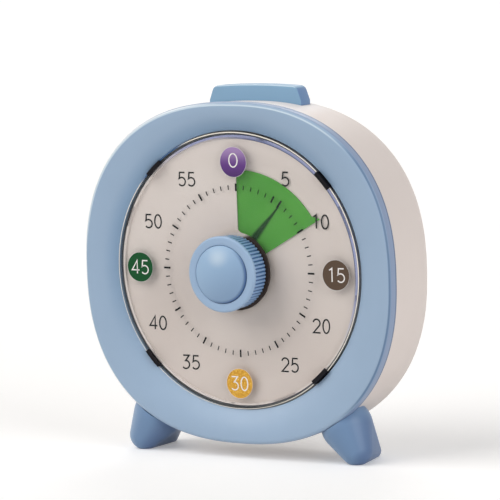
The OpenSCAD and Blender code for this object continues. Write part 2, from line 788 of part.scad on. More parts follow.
module lens_clips() color([0.07, 0.07, 0.08]) face() for (i = [0:3]) {
    from = clip_angle + 90 * i - clip_span / 2;
    to = from + clip_span;
    sector(clip_inner_r, clip_web_out, lens_front - clip_t, lens_front, from, to);
    sector(clip_web_in, clip_web_out, lens_front - clip_t, floor_back + clip_t, from, to);
    sector(clip_inner_r + 0.6, clip_web_out, floor_back, floor_back + clip_t, from, to);
}

module dial_ring() color([0.35, 0.45, 0.62]) face() tube(dial_r, dial_edge_r, lens_back, dial_top, $fn = 128);

// Share of the ramp's full rise at a radius
function ramp_share(r) =
    r <= ramp_full_r ? 1 : r >= ramp_end_r ? 0 : (ramp_end_r - r) / (ramp_end_r - ramp_full_r);
dial_radii = [dial_hole_r, ramp_full_r, ramp_end_r, dial_r];
dial_columns = dial_steps + 1;
// The two sides of the slit stand apart as far as the ramp is there
function dial_turn(k, j) = let (gap = j < 2 ? slit_span / 2 : 0) gap + (360 - 2 * gap) * k / dial_steps;
function dial_point(k, j, behind) =
    let (turn = dial_turn(k, j), r = dial_radii[j],
         depth = dial_top + pitch * (1 - turn / 360) * ramp_share(r) + behind)
    [r * sin(turn), r * cos(turn), -depth];
function dial_index(k, j, side) = side * 4 * dial_columns + j * dial_columns + (j < 2 ? k : k % dial_steps);

module dial_plate() color([0.85, 0.82, 0.79]) face() {
    points = [for (side = [0, 1]) for (j = [0:3]) for (k = [0:dial_steps]) dial_point(k, j, side * dial_t)];
    top = [for (j = [0:2]) for (k = [0:dial_steps - 1])
        [dial_index(k, j, 0), dial_index(k, j + 1, 0), dial_index(k + 1, j + 1, 0), dial_index(k + 1, j, 0)]];
    bottom = [for (j = [0:2]) for (k = [0:dial_steps - 1])
        [dial_index(k, j, 1), dial_index(k + 1, j, 1), dial_index(k + 1, j + 1, 1), dial_index(k, j + 1, 1)]];
    inner = [for (k = [0:dial_steps - 1])
        [dial_index(k, 0, 0), dial_index(k + 1, 0, 0), dial_index(k + 1, 0, 1), dial_index(k, 0, 1)]];
    outer = [for (k = [0:dial_steps - 1])
        [dial_index(k, 3, 0), dial_index(k, 3, 1), dial_index(k + 1, 3, 1), dial_index(k + 1, 3, 0)]];
    ends = [[dial_index(0, 0, 0), dial_index(0, 0, 1), dial_index(0, 1, 1), dial_index(0, 1, 0)],
        [dial_index(0, 1, 0), dial_index(0, 1, 1), dial_index(0, 2, 1), dial_index(0, 2, 0)],
        [dial_index(dial_steps, 0, 0), dial_index(dial_steps, 1, 0),
         dial_index(dial_steps, 1, 1), dial_index(dial_steps, 0, 1)],
        [dial_index(dial_steps, 1, 0), dial_index(0, 2, 0),
         dial_index(0, 2, 1), dial_index(dial_steps, 1, 1)]];
    polyhedron(points = points, faces = concat(top, bottom, inner, outer, ends), convexity = 8);
}

// Coloured disc: one turn of a ramp that follows the dial's
disc_from = shown_angle - 360 + slit_span;
function disc_rim(turn) =
    let (back = (shown_angle - turn) / tab_span) disc_r + (back < 1 ? tab_reach * (1 - back) : 0);
function disc_turn(k) = k < disc_steps - 1
    ? disc_from + (shown_angle - tab_span - disc_from) * k / (disc_steps - 2)
    : shown_angle - tab_span + tab_span * (k - disc_steps + 2) / 2;
function disc_point(k, out, behind) =
    let (turn = disc_turn(k), r = out ? disc_rim(turn) : hub_r + seam,
         depth = disc_back - pitch * turn / 360 - behind)
    [r * sin(turn), r * cos(turn), -depth];

module time_disc() color([0.36, 0.63, 0.29]) face() {
    stack([for (k = [0:disc_steps]) [disc_point(k, false, disc_t), disc_point(k, true, disc_t),
        disc_point(k, true, 0), disc_point(k, false, 0)]]);
}

module disc_hub() color([0.88, 0.87, 0.85]) face() difference() {
    rod(hub_r, disc_back - disc_t - pitch * shown_angle / 360, disc_back - pitch * disc_from / 360);
    block([0, 0], [drive_w + 2 * run_gap, drive_w + 2 * run_gap], 0, sweep_back + 1);
}

module dial_carrier() color([0.8, 0.8, 0.8]) face() difference() {
    union() {
        tube(dial_r, dial_r - rim_wall, dial_top + dial_t, floor_front + cut, $fn = 128);
        rod(carrier_r, floor_front, floor_back, $fn = 128);
    }
    rod(bush_r + fit, floor_front - cut, floor_back + cut);
    for (sx = [-1, 1]) for (sz = [-1, 1])
        rod(boss_r + 0.4, floor_front - cut, floor_back + cut, [sx * boss_place, sz * boss_place]);
    for (turn = [0:90:270]) rotate([0, 0, turn])
        rod(1.2, floor_front - cut, floor_back + cut, [carrier_screw_ring, 0]);
    for (i = [0:3])
        sector(clip_web_in - fit, clip_web_out + fit, floor_front - cut, floor_back + cut,
            clip_angle + 90 * i - clip_span / 2 - 0.2, clip_angle + 90 * i + clip_span / 2 + 0.2);
}

// ---------- dial print ----------

module tick_marks() color([0.12, 0.12, 0.13]) face() for (minute = [0:59]) {
    long = minute % 5 == 0;
    length = long ? long_mark_length : mark_length;
    rotate([0, 0, -6 * minute])
        block([0, mark_r], [long ? long_mark_w : mark_w, length], lens_back, lens_back + print_t);
}

module spot(turn, ring_r) face() rotate([0, 0, -turn])
    rod(spot_r, lens_front - print_t, lens_front, [0, ring_r]);
module spot_0() color([0.35, 0.2, 0.5]) spot(0, top_spot_r);
module spot_15() color([0.36, 0.3, 0.25]) spot(90, spot_ring_r);
module spot_30() color([0.8, 0.6, 0.15]) spot(180, spot_ring_r);
module spot_45() color([0.15, 0.35, 0.2]) spot(270, spot_ring_r);

// ---------- knob, spindle and hub ----------

function knob_profile() = [[0, cap_seat], [cap_r + fit, cap_seat], [cap_r + fit, -knob_front],
    [knob_r - knob_edge, -knob_front], [knob_r - knob_edge * 0.3, -knob_front + knob_edge * 0.3],
    [knob_r, -knob_front + knob_edge], [knob_r, -knob_front + knob_band],
    [knob_r - rib_step - rib_height, -knob_front + knob_band + rib_step],
    [knob_back_r - rib_height, skirt_back], [neck_r, skirt_back], [neck_r, neck_back], [0, neck_back]];

module knob() color([0.55, 0.68, 0.82]) face() difference() {
    union() {
        rotate_extrude($fn = 96) polygon([for (p = knob_profile()) [p[0], -p[1]]]);
        slab(-knob_front + knob_band + rib_step / 2, skirt_back) polygon([for (i = [0:4 * rib_count - 1])
            let (a = 90 * i / rib_count, r = (i % 4 < 2) ? knob_back_r : knob_back_r - rib_height)
            r * [cos(a), sin(a)]]);
    }
    rod(spindle_r + run_gap, spindle_front, neck_back + cut);
    rod(small_screw_r + small_screw_gap, -knob_front, spindle_front + cut);
}

module knob_cap() color([0.6, 0.72, 0.85]) face() {
    dome_r = (cap_r * cap_r + cap_rise * cap_rise) / (2 * cap_rise);
    difference() {
        union() {
            rod(cap_r, -knob_front, cap_seat, $fn = 96);
            intersection() {
                translate([0, 0, knob_front + cap_rise - dome_r]) sphere(r = dome_r, $fn = 96);
                rod(cap_r, -knob_front - cap_rise - 1, -knob_front + cut, $fn = 96);
            }
        }
        rod(knob_head_r + 0.4, -knob_front - knob_head_rise - 0.2, cap_seat + cut);
    }
}

module knob_screw() color("silver") face() {
    rod(small_screw_r, cap_seat - 0.2, spindle_front + spindle_thread - 1);
    rod(knob_head_r, -knob_front - knob_head_rise, cap_seat);
}

module knob_collar() color([0.08, 0.07, 0.07]) face() difference() {
    rod(collar_r, collar_front, lens_front, $fn = 96);
    rod(neck_r + run_gap, collar_front - cut, lens_front + cut);
}

module spindle() color([0.75, 0.75, 0.77]) face() difference() {
    union() {
        rod(spindle_r, spindle_front, spindle_back);
        block([0, 0], [drive_w, drive_w], neck_back, bush_front);
    }
    rod(small_screw_r + screw_gap, spindle_front - cut, spindle_front + spindle_thread);
    tube(spindle_r + 1, spindle_r - clip_groove, spring_front, spring_front + spindle_clip_t);
}

// ---------- movement ----------

module centre_wheel() color([0.9, 0.88, 0.8]) face() difference() {
    gear([0, 0], centre_teeth, centre_mod, wheel_tip, wheel_root, third_dir,
        first_level, first_level + wheel_t);
    rod(spindle_r + run_gap, first_level - cut, first_level + wheel_t + cut);
    for (i = [0:4]) rod(lightening_r, first_level - cut, first_level + wheel_t + cut,
        lightening_ring * [cos(72 * i), sin(72 * i)]);
}

module clutch_spring() color([0.8, 0.65, 0.35]) face()
    translate([0, 0, -first_level - wheel_t]) rotate_extrude() polygon([
        [spindle_r + run_gap, -clutch_rise], [spindle_r + run_gap + 1, -clutch_rise],
        [clutch_r, -clutch_t], [clutch_r, 0], [clutch_r - 0.4, 0],
        [spindle_r + run_gap + 0.9, clutch_t - clutch_rise], [spindle_r + run_gap, clutch_t - clutch_rise]]);

module spindle_clip() color([0.5, 0.5, 0.52]) face() difference() {
    rod(spindle_clip_r, spring_front, spring_front + spindle_clip_t);
    rod(spindle_r - clip_groove + run_gap, first_level, spring_front + 1);
    block([0, -spindle_clip_r], [2 * spindle_r - 2.4, 2 * spindle_clip_r], first_level, spring_front + 1);
}

module third_wheel() color([0.93, 0.9, 0.8]) face()
    wheel_set(third_at, third_teeth, third_mod, fourth_dir, 1,
        third_pinion_teeth, centre_mod, third_dir + 180 + 180 / third_pinion_teeth, 0);
module fourth_wheel() color([0.88, 0.85, 0.75]) face()
    wheel_set(fourth_at, fourth_teeth, fourth_mod, fifth_dir, 2,
        fourth_pinion_teeth, third_mod, fourth_dir + 180 + 180 / fourth_pinion_teeth, 1);
module fifth_wheel() color([0.93, 0.9, 0.8]) face()
    wheel_set(fifth_at, fifth_teeth, fifth_mod, rotor_dir, 3,
        fifth_pinion_teeth, fourth_mod, fifth_dir + 180 + 180 / fifth_pinion_teeth, 2);
module rotor() color([0.35, 0.35, 0.38]) face() {
    front = first_level + 3 * level_gap;
    gear(rotor_at, rotor_pinion_teeth, fifth_mod, pinion_tip, pinion_root,
        rotor_dir + 180 + 180 / rotor_pinion_teeth, front - 0.2, front + wheel_t + 0.2);
    rod(magnet_r, stator_front - 0.8, stator_front + stator_t + 0.8, rotor_at);
    rod(arbor_r + 0.1, first_level - 0.8, cover_front - 0.4, rotor_at);
    rod(arbor_r, movement_front + 0.3, cover_back - 0.2, rotor_at);
}

module arbor_holes(front, back) {
    for (at = [third_at, fourth_at, fifth_at, rotor_at]) rod(arbor_r + run_gap, front, back, at);
}

module movement_base() color([0.25, 0.25, 0.27]) face() difference() {
    union() {
        block([0, 0], [movement_w, movement_w], movement_front, movement_front + plate_t);
        difference() {
            block([0, 0], [movement_w, movement_w], movement_front, cover_front);
            block([0, 0], [movement_w - 2 * side_wall, movement_w - 2 * side_wall],
                movement_front - cut, cover_front + cut);
        }
        for (sx = [-1, 1]) rod(2.4, movement_front, cover_front, sx * cover_screw_at);
        rod(bush_r, bush_front, movement_front + cut);
        rod(bush_r + 2, movement_front, first_level - 0.1);
        for (x = [coil_left - 1, coil_right + 1])
            block([x, coil_z], [3, 5], movement_front, coil_depth - coil_r);
    }
    rod(spindle_r + run_gap, bush_front - cut, cover_front);
    arbor_holes(movement_front - cut, movement_front + plate_t + cut);
    for (sx = [-1, 1])
        rod(cover_screw_r + screw_gap, movement_front + 3, cover_front + cut, sx * cover_screw_at);
}

module movement_cover() color([0.3, 0.3, 0.32]) face() difference() {
    block([0, 0], [movement_w, movement_w], cover_front, cover_back);
    rod(spindle_r + run_gap, cover_front - cut, cover_back + cut);
    arbor_holes(cover_front - cut, cover_back + cut);
    for (sx = [-1, 1]) rod(cover_screw_r + 0.2, cover_front - cut, cover_back + cut, sx * cover_screw_at);
}

module movement_nut() color([0.8, 0.68, 0.35]) face() difference() {
    translate([0, 0, -floor_front]) cylinder(r = nut_r, h = nut_t, $fn = 6);
    rod(bush_r + run_gap, nut_front - cut, floor_front + cut);
}

module movement_screws() color("silver") face() for (sx = [-1, 1])
    screw_from_back(sx * cover_screw_at, cover_back, movement_front + 3.4,
        cover_screw_r, 2 * cover_screw_r, 0.9);

module stator() color([0.55, 0.56, 0.6]) face() difference() {
    union() {
        slab(stator_front, stator_front + stator_t) polygon([
            rotor_at + [-5.5, 4.8], rotor_at + [5.5, 4.8],
            rotor_at + [5.5, -15.3], [coil_right + 5, coil_z + 12],
            [coil_right + 5, coil_z - 2], [coil_right + 1, coil_z - 2], [coil_right + 1, coil_z + 8],
            rotor_at + [0.6, -19.2], rotor_at + [0.6, -5.5], rotor_at + [-2.2, -5.5],
            [coil_left - 5, coil_z + 2], [coil_left - 1, coil_z + 2], [coil_left - 1, coil_z - 2],
            [coil_left - 8, coil_z - 2], [coil_left - 9, coil_z + 6], rotor_at + [-5.5, -5.5]]);
        block([(coil_left + coil_right) / 2, coil_z], [coil_right - coil_left + 4, core_w],
            stator_front, stator_front + stator_t);
    }
    rod(magnet_r + 0.4, stator_front - cut, stator_front + stator_t + cut, rotor_at);
}

module coil_bobbin() color([0.9, 0.9, 0.92]) face() translate([0, coil_z, -coil_depth]) difference() {
    union() {
        for (x = [coil_left, coil_right - 1]) translate([x, -coil_r - 0.6, -coil_r])
            cube([1, 2 * coil_r + 1.2, 2 * coil_r]);
        translate([coil_left, 0, 0]) rotate([0, 90, 0])
            cylinder(r = bobbin_r, h = coil_right - coil_left);
    }
    translate([coil_left - cut, -core_w / 2 - run_gap, -stator_t / 2 - run_gap])
        cube([coil_right - coil_left + 2 * cut, core_w + 2 * run_gap, stator_t + 2 * run_gap]);
}

module coil() color([0.72, 0.4, 0.2]) face() translate([0, coil_z, -coil_depth]) difference() {
    translate([coil_left + 1 + seam, 0, 0]) rotate([0, 90, 0])
        cylinder(r = coil_r - 0.2, h = coil_right - coil_left - 2 - 2 * seam);
    translate([coil_left, 0, 0]) rotate([0, 90, 0])
        cylinder(r = bobbin_r + seam, h = coil_right - coil_left);
}

module alarm_cam() color([0.92, 0.92, 0.9]) face() difference() {
    rod(cam_r, cam_front, cam_back);
    rod(spindle_r + seam, cam_front - cut, cam_back + cut);
    rotate([0, 0, -shown_angle]) block([cam_r, 0], [2, 2.4], cam_front - cut, cam_back + cut);
}

module alarm_contact() color([0.78, 0.62, 0.32]) face() {
    block([19, -3], [6, 5], cover_back, contact_back);
    slab(cam_front + 0.3, cam_back - 0.3) polygon([[16.1, -2], [cam_r + 1.4, 0.9], [cam_r + 0.25, 0.5],
        [cam_r + 0.25, -0.5], [cam_r + 1.2, 0.3], [16.1, -2.6]]);
}

// ---------- board and sound ----------

module main_pcb() color([0.12, 0.4, 0.22]) face() difference() {
    block([0, (pcb_low + pcb_high) / 2], [pcb_w, pcb_high - pcb_low], pcb_front, pcb_back);
    for (x = [-pcb_screw_x, pcb_screw_x]) for (z = [pcb_screw_low, pcb_screw_high])
        rod(1.2, pcb_front - cut, pcb_back + cut, [x, z]);
}

module pcb_parts() color([0.1, 0.1, 0.1]) face() {
    rod(chip_r, pcb_front - 1.2, pcb_front, chip_at);
    for (i = [0:3])
        block(resistors_at + [resistor_pitch * i, 0], [3.2, 1.6], pcb_front - 0.8, pcb_front);
    rod(capacitor_r, pcb_front - capacitor_h, pcb_front, capacitor_at);
}

module crystal() color("silver") face()
    translate([crystal_at[0], crystal_at[1], -pcb_front + crystal_r]) rotate([-90, 0, 0])
        cylinder(r = crystal_r, h = 8);

module volume_switch() color([0.2, 0.2, 0.22]) face() difference() {
    block([volume_x, volume_z], [volume_body_w, volume_body_h], pcb_back, pcb_back + volume_body_t);
    block([volume_x, volume_z], [2 * volume_travel + slider_stem_w + 0.4, slider_stem_h + 0.2],
        pcb_back + volume_body_t - 1.2, pcb_back + volume_body_t + cut);
}

module volume_slider() color([0.15, 0.15, 0.17]) face() {
    block([volume_x, volume_z], [slider_stem_w, slider_stem_h], pcb_back + volume_body_t - 1,
        case_depth - pocket_depth + 0.2);
    difference() {
        block([volume_x, volume_z], [slider_w, slider_h],
            case_depth - pocket_depth + 0.05, case_depth - 0.05);
        for (i = [-1:1]) block([volume_x + 1.5 * i, volume_z], [0.5, slider_h + 1],
            case_depth - 0.4, case_depth);
    }
}

module buzzer() color([0.1, 0.1, 0.11]) face() difference() {
    rod(buzzer_r, wall_back - buzzer_t, wall_back, [buzzer_x, buzzer_z]);
    rod(buzzer_r - 1.2, wall_back - 0.8, wall_back + cut, [buzzer_x, buzzer_z]);
}

// ---------- battery bay ----------

// Frame along the cell: z runs towards +x, from the middle of the bay
module cell_frame() { translate([0, -cell_drop, -cell_depth]) rotate([0, 90, 0]) children(); }

module battery_cell() color([0.75, 0.72, 0.4]) face() cell_frame() translate([0, 0, cell_start]) {
    cylinder(r = cell_r, h = cell_length - nub_t);
    cylinder(r = nub_r, h = cell_length);
}

module contact_plate(side) {
    x0 = side > 0 ? bay_half_w - contact_t : -bay_half_w;
    translate([x0, -cell_drop - 6, -cell_depth - 6]) cube([contact_t, 12, 12]);
    x1 = side > 0 ? bay_half_w - contact_t : -bay_half_w - 2.6;
    translate([x1, tab_z - 1.5, -tab_depth - 0.4]) cube([contact_t + 2.6, 3, 0.4]);
}

module battery_contact() color("silver") face() contact_plate(1);

module battery_spring() color("silver") face() {
    contact_plate(-1);
    cell_frame() wire(helix(cell_spring_r, cell_spring_r / 2, -bay_half_w + contact_t - cut,
        cell_start - cell_wire_r - 0.05, 4, 12), cell_wire_r, [0, 0, 1]);
}

module battery_door() color([0.85, 0.81, 0.79]) face() difference() {
    union() {
        bay_box(door_edge - door_gap, case_depth - door_plate_t, case_depth);
        bay_box(-door_gap, door_inner, case_depth - door_plate_t + cut);
    }
    for (i = [0:3]) block([0, -cell_drop + bay_half_h - 2 - 1.4 * i], [14 - 2 * i, 0.6],
        case_depth - 0.5, case_depth + cut);
}

// ---------- top bar ----------

module bar_outline() {
    corner = bar_w / 2 - bar_lean - bar_round;
    hull() {
        for (i = [-2:2]) translate([corner * i / 2, bar_top - bar_round - bar_crown * i * i / 4])
            circle(r = bar_round, $fn = 32);
        translate([-bar_w / 2, bar_bottom]) square([bar_w, shell_top - bar_bottom]);
    }
}

// Upright round bar between two heights above the dial's centre
module post(x, r, low, high) {
    translate([x, low, -bar_depth]) rotate([-90, 0, 0]) cylinder(r = r, h = high - low);
}

module top_bar() color([0.45, 0.6, 0.75]) face() {
    difference() {
        slab(bar_depth - bar_t / 2, bar_depth + bar_t / 2) bar_outline();
        for (x = [-bar_spring_x, bar_spring_x])
            post(x, bar_spring_r + 0.5, bar_bottom - cut, bar_bottom + spring_pocket);
    }
    post(0, stem_r, stem_end, bar_bottom + cut);
    for (x = [-leg_x, leg_x]) {
        post(x, leg_r, bar_floor_low - 1, bar_bottom + cut);
        post(x, barb_r, bar_floor_low - 1.2, bar_floor_low - 0.05);
    }
}

module bar_springs() color("silver") face() for (x = [-bar_spring_x, bar_spring_x])
    translate([x, 0, -bar_depth]) rotate([-90, 0, 0])
        wire(helix(bar_spring_r - bar_wire_r, bar_spring_r - bar_wire_r, well_floor_top + 2 * bar_wire_r,
            bar_bottom + spring_pocket - 2 * bar_wire_r, bar_spring_turns, 10), bar_wire_r, [0, 0, 1]);

module bar_switch() color([0.18, 0.18, 0.2]) face() difference() {
    block([0, (switch_top + shelf_top) / 2], [switch_w, switch_top - shelf_top],
        bar_depth - switch_w / 2, bar_depth + switch_w / 2);
    post(0, plunger_r + run_gap, switch_top - plunger_length, switch_top + cut);
}

module switch_plunger() color([0.85, 0.2, 0.15]) face()
    post(0, plunger_r, stem_end - plunger_length, stem_end);

// ---------- leads ----------

module battery_lead_plus() color([0.7, 0.1, 0.1]) lead(lead_plus_route);
module battery_lead_minus() color([0.08, 0.08, 0.08]) lead(lead_minus_route);
module buzzer_leads() color([0.1, 0.1, 0.5]) {
    lead(buzzer_lead_route);
    lead([for (p = buzzer_lead_route) [p[0], p[1] - 6, p[2]]]);
}
module movement_leads() color([0.8, 0.6, 0.1]) {
    for (shift = [0, 2.4]) {
        lead([for (p = contact_lead_route) [p[0] + shift * 0.6, p[1] + shift * 0.45, p[2]]]);
        lead([for (p = coil_lead_route) [p[0] - shift, p[1], p[2]]]);
    }
}

front_bezel();
rear_shell();
foot_left();
foot_right();
foot_screws();
case_screws();
lens();
lens_clips();
dial_ring();
dial_plate();
dial_carrier();
carrier_screws();
tick_marks();
spot_0();
spot_15();
spot_30();
spot_45();
knob();
knob_cap();
knob_screw();
knob_collar();
spindle();
disc_hub();
time_disc();
centre_wheel();
clutch_spring();
spindle_clip();
alarm_cam();
alarm_contact();
movement_base();
movement_cover();
movement_nut();
movement_screws();
third_wheel();
fourth_wheel();
fifth_wheel();
rotor();
stator();
coil_bobbin();
coil();
main_pcb();
pcb_parts();
crystal();
pcb_screws();
volume_switch();
volume_slider();
buzzer();
battery_cell();
battery_spring();
battery_contact();
battery_door();
top_bar();
bar_springs();
bar_switch();
switch_plunger();
battery_lead_plus();
battery_lead_minus();
buzzer_leads();
movement_leads();
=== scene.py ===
import math

import bmesh
import bpy
from mathutils import Matrix, Vector
from mathutils.geometry import convex_hull_2d


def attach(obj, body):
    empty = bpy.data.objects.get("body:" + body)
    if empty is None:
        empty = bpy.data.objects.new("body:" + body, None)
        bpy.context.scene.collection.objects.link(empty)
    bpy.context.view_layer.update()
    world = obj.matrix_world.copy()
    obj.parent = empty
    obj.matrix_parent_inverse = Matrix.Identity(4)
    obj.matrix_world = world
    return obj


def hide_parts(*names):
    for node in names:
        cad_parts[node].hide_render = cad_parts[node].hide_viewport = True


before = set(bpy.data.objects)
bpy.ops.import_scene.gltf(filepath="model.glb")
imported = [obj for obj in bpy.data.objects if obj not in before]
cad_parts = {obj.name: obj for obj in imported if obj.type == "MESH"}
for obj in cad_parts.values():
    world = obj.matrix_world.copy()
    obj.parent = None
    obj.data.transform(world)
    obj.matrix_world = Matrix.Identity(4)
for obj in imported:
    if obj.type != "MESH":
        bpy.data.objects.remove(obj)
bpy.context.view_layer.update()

MM = 0.001

# ---------- sizes in millimetres and degrees, as in the solids ----------

FRONT_Y = -15.65
DIAL_Z = 77.0
CASE_W = 144.0
CASE_H = 139.5
CASE_POWER = 2.36
CASE_DROP = 1.0
CASE_DEPTH = 43.5
BAND_DEPTH = 5.2
RIM_ROUND = 1.5
FACE_DISH = 3.5
BEZEL_WALL = 2.2
WINDOW_R = 57.2
SHELL_STEP = 0.8
SHELL_WALL = 2.4
SHELL_ROUND = 14.0
SHELL_TOP = CASE_H / 2 - SHELL_STEP - CASE_DROP
LIP_WALL = 1.2
LIP_REACH = 2.0
LIP_ROOT = 3.0
LIP_ROUND = 0.5
FIT = 0.1
WALL_BACK = CASE_DEPTH - SHELL_WALL

LENS_FRONT = 2.4
LENS_BACK = 3.8
LENS_R = 56.8
DIAL_T = 0.5
DISC_T = 0.3
DIAL_TOP = 4.6
PITCH = 1.2
DISC_BACK = 5.6
DIAL_HOLE_R = 9.8
RAMP_FULL_R = 44.5
RAMP_END_R = 50.0
DIAL_R = 55.7
DIAL_RADII = (DIAL_HOLE_R, 20, 30, 38, RAMP_FULL_R, 46.4, 48.2, RAMP_END_R, 53, DIAL_R)
SLIT_SPAN = 1.2
DISC_R = 41.0
TAB_REACH = 2.9
TAB_SPAN = 4.0
SHOWN_ANGLE = 60.0
DISC_FROM = SHOWN_ANGLE - 360 + SLIT_SPAN
DISC_HOLE_R = 9.02
PRINT_T = 0.06
SPOT_R = 6.2
SPOT_RING_R = 46.2
TOP_SPOT_R = 44.4
MARK_R = 34.0

KNOB_R = 15.5
KNOB_BACK_R = 15.0
KNOB_FRONT = 9.6
KNOB_EDGE = 0.9
KNOB_BAND = 1.6
CAP_R = 11.8
CAP_RISE = 2.6
CAP_SEAT = 1.5
CAP_EDGE_BACK = 0.3
RIB_COUNT = 60
RIB_HEIGHT = 0.45
RIB_POWER = 1.3
RIBS_FROM = 1.9
SKIRT_BACK = 1.0
NECK_R = 8.0
NECK_BACK = 3.0

BAR_W = 43.6
BAR_T = 7.8
BAR_DEPTH = 25.0
BAR_TOP = SHELL_TOP + 6.6
BAR_BOTTOM = SHELL_TOP - 6
BAR_ROUND = 3.0
BAR_LEAN = 1.3
BAR_CROWN = 0.6
BAR_EDGE = 0.7
BAR_GAP = 0.3
BAR_FLOOR_TOP = BAR_BOTTOM - 3.5
BAR_FLOOR_T = 1.6
BAR_WELL_WALL = 1.5
BAR_LEG_X = BAR_W / 2 - 4.4
BAR_LEG_HOLE_R = 1.45
PLUNGER_HOLE_R = 2.05
SHELF_TOP = 46.95
SHELF_W = 10.0
SHELF_T = 1.6
SHELF_REACH = 3.5

FOOT_TIP_R = 6.6
FOOT_ROOT_R = 10.6
FOOT_X = CASE_W / 2 - 21.8
FOOT_FRONT = 8.4
FOOT_LENGTH = 17.0
FOOT_HEEL_R = 3.2
FOOT_HEEL_SLIM = 4.6
FOOT_HEEL_REACH = 4.4
FOOT_TOE_IN = 1.6
FOOT_FLAT = 0.8
FOOT_RISE = 9.0
FOOT_TIP_Z = FOOT_TIP_R - FOOT_FLAT
FOOT_ROOT_X = FOOT_X - 5.5
FOOT_ROOT_BACK = 2.5
FOOT_SCREW_TURN = 145.0
FOOT_SCREW_LEAN = 24.0
FOOT_SCREW_HEAD_R = 2.7
FOOT_SCREW_HOLE_R = 1.4
FOOT_SCREW_SEAT = 0.4

BOSS_PLACE = (WINDOW_R + 6.44) * math.sin(math.pi / 4)
BOSS_END = 16.0
CASE_SCREW_HOLE_R = 1.7
WELL_R = 3.3
WELL_WALL = 1.6
WELL_FLOOR = 24.0
BAY_HALF_W = 29.0
BAY_HALF_H = 8.15
BAY_WALL = 1.4
BAY_FLOOR = 26.3
BAY_DROP = 40.5
LEAD_SLOT_UP = 5 - BAY_DROP
LEAD_SLOT = (1.6, 3.4, 29.8, 30.6)
DOOR_PLATE_T = 1.2
DOOR_EDGE = 1.4
PCB_BACK = 35.0
PCB_POST_R = 2.6
PCB_HOLE_R = 1.05
PCB_SCREW_X = 19.0
PCB_SCREW_UP = (11.0, 35.0)
VOLUME_X = 10.0
VOLUME_UP = 24.0
VOLUME_RECESS = (12.4, 6.4)
VOLUME_SLOT = (9.4, 3.0)
BUZZER_X = 34 - CASE_W / 2
BUZZER_UP = 24.0
BUZZER_R = 12.0
BUZZER_WALL = 1.5
BUZZER_CUP = 4.2
SOUND_HOLE_R = 0.9
SOUND_HOLE_PITCH = 3.6

# How far a cutter reaches past what it cuts
PAST = 1.0
RING_STEPS = 240
CORNERS = [(sx * BOSS_PLACE, sy * BOSS_PLACE) for sx in (-1, 1) for sy in (-1, 1)]
PCB_SCREWS = [(sx * PCB_SCREW_X, up) for sx in (-1, 1) for up in PCB_SCREW_UP]


def at(x, up, depth):
    """A point from the dial's centre: to the right, up, and back from the bezel's front."""
    return Vector((x, FRONT_Y + depth, DIAL_Z + up)) * MM


def polar(r, turn, depth, x=0.0, up=0.0):
    """A point by its distance from an axis and its turn, clockwise from the top."""
    return at(x + r * math.sin(turn), up + r * math.cos(turn), depth)


# ---------- mesh helpers ----------

def placed(name, data):
    """A new object in the scene."""
    obj = bpy.data.objects.new(name, data)
    bpy.context.scene.collection.objects.link(obj)
    return obj


def finish_piece(obj, material, body, replaces=()):
    """Gives a piece its material, colour slot, replaced solids and body."""
    obj.data.materials.clear()
    obj.data.materials.append(material)
    if replaces:
        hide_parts(*replaces)
    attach(obj, body)


def tidy_mesh(mesh, sharp):
    bm = bmesh.new()
    bm.from_mesh(mesh)
    bmesh.ops.remove_doubles(bm, verts=bm.verts, dist=1e-7)
    bmesh.ops.recalc_face_normals(bm, faces=bm.faces)
    bm.to_mesh(mesh)
    bm.free()
    mesh.shade_smooth()
    mesh.set_sharp_from_angle(angle=math.radians(sharp))


def mesh_object(name, points, faces, sharp=35.0):
    mesh = bpy.data.meshes.new(name)
    mesh.from_pydata([tuple(p) for p in points], [], faces)
    tidy_mesh(mesh, sharp)
    return placed(name, mesh)


def loft(rings, closed=False):
    """Points and faces of a skin through rings of points of one length, capped unless it closes."""
    count = len(rings[0])
    points = [p for ring in rings for p in ring]
    faces = []
    for i in range(len(rings) if closed else len(rings) - 1):
        a = i * count
        b = ((i + 1) % len(rings)) * count
        for k in range(count):
            n = (k + 1) % count
            faces.append((a + k, a + n, b + n, b + k))
    if not closed:
        last = (len(rings) - 1) * count
        faces += [tuple(range(count)), tuple(range(last, last + count))]
    return points, faces


def add_loft(points, faces, rings, closed=False):
    """Adds a skin through rings to lists of points and faces."""
    base = len(points)
    more_points, more_faces = loft(rings, closed)
    points.extend(more_points)
    faces.extend(tuple(base + i for i in face) for face in more_faces)


def skin(name, rings, closed=False):
    return mesh_object(name, *loft(rings, closed))


def section(start, end, front, back):
    """Corners of a flat cross-section between two places and two depths."""
    return (start, front), (end, front), (end, back), (start, back)


def apply_modifiers(obj):
    bpy.context.view_layer.update()
    depsgraph = bpy.context.evaluated_depsgraph_get()
    made = bpy.data.meshes.new_from_object(obj.evaluated_get(depsgraph))
    obj.modifiers.clear()
    obj.data = made


def boolean(obj, cutter, operation="DIFFERENCE"):
    mod = obj.modifiers.new("bool", "BOOLEAN")
    mod.operation = operation
    mod.solver = "MANIFOLD"
    mod.object = cutter
    apply_modifiers(obj)
    bpy.data.objects.remove(cutter)
    return obj


def joined(pieces):
    """One object of separate closed pieces."""
    bm = bmesh.new()
    for piece in pieces:
        bm.from_mesh(piece.data)
        bpy.data.objects.remove(piece)
    mesh = bpy.data.meshes.new("joined")
    bm.to_mesh(mesh)
    bm.free()
    return placed("joined", mesh)


def case_reach(turn, inset):
    """Distance from the case's middle to its outline."""
    s = abs(math.sin(turn)) / (CASE_W / 2 - inset)
    c = abs(math.cos(turn)) / (CASE_H / 2 - inset)
    return (s ** CASE_POWER + c ** CASE_POWER) ** (-1 / CASE_POWER)


def ring_turns(steps=RING_STEPS):
    return [2 * math.pi * k / steps for k in range(steps)]


def case_ring(inset, depth):
    return [polar(case_reach(t, inset), t, depth, up=-CASE_DROP) for t in ring_turns()]


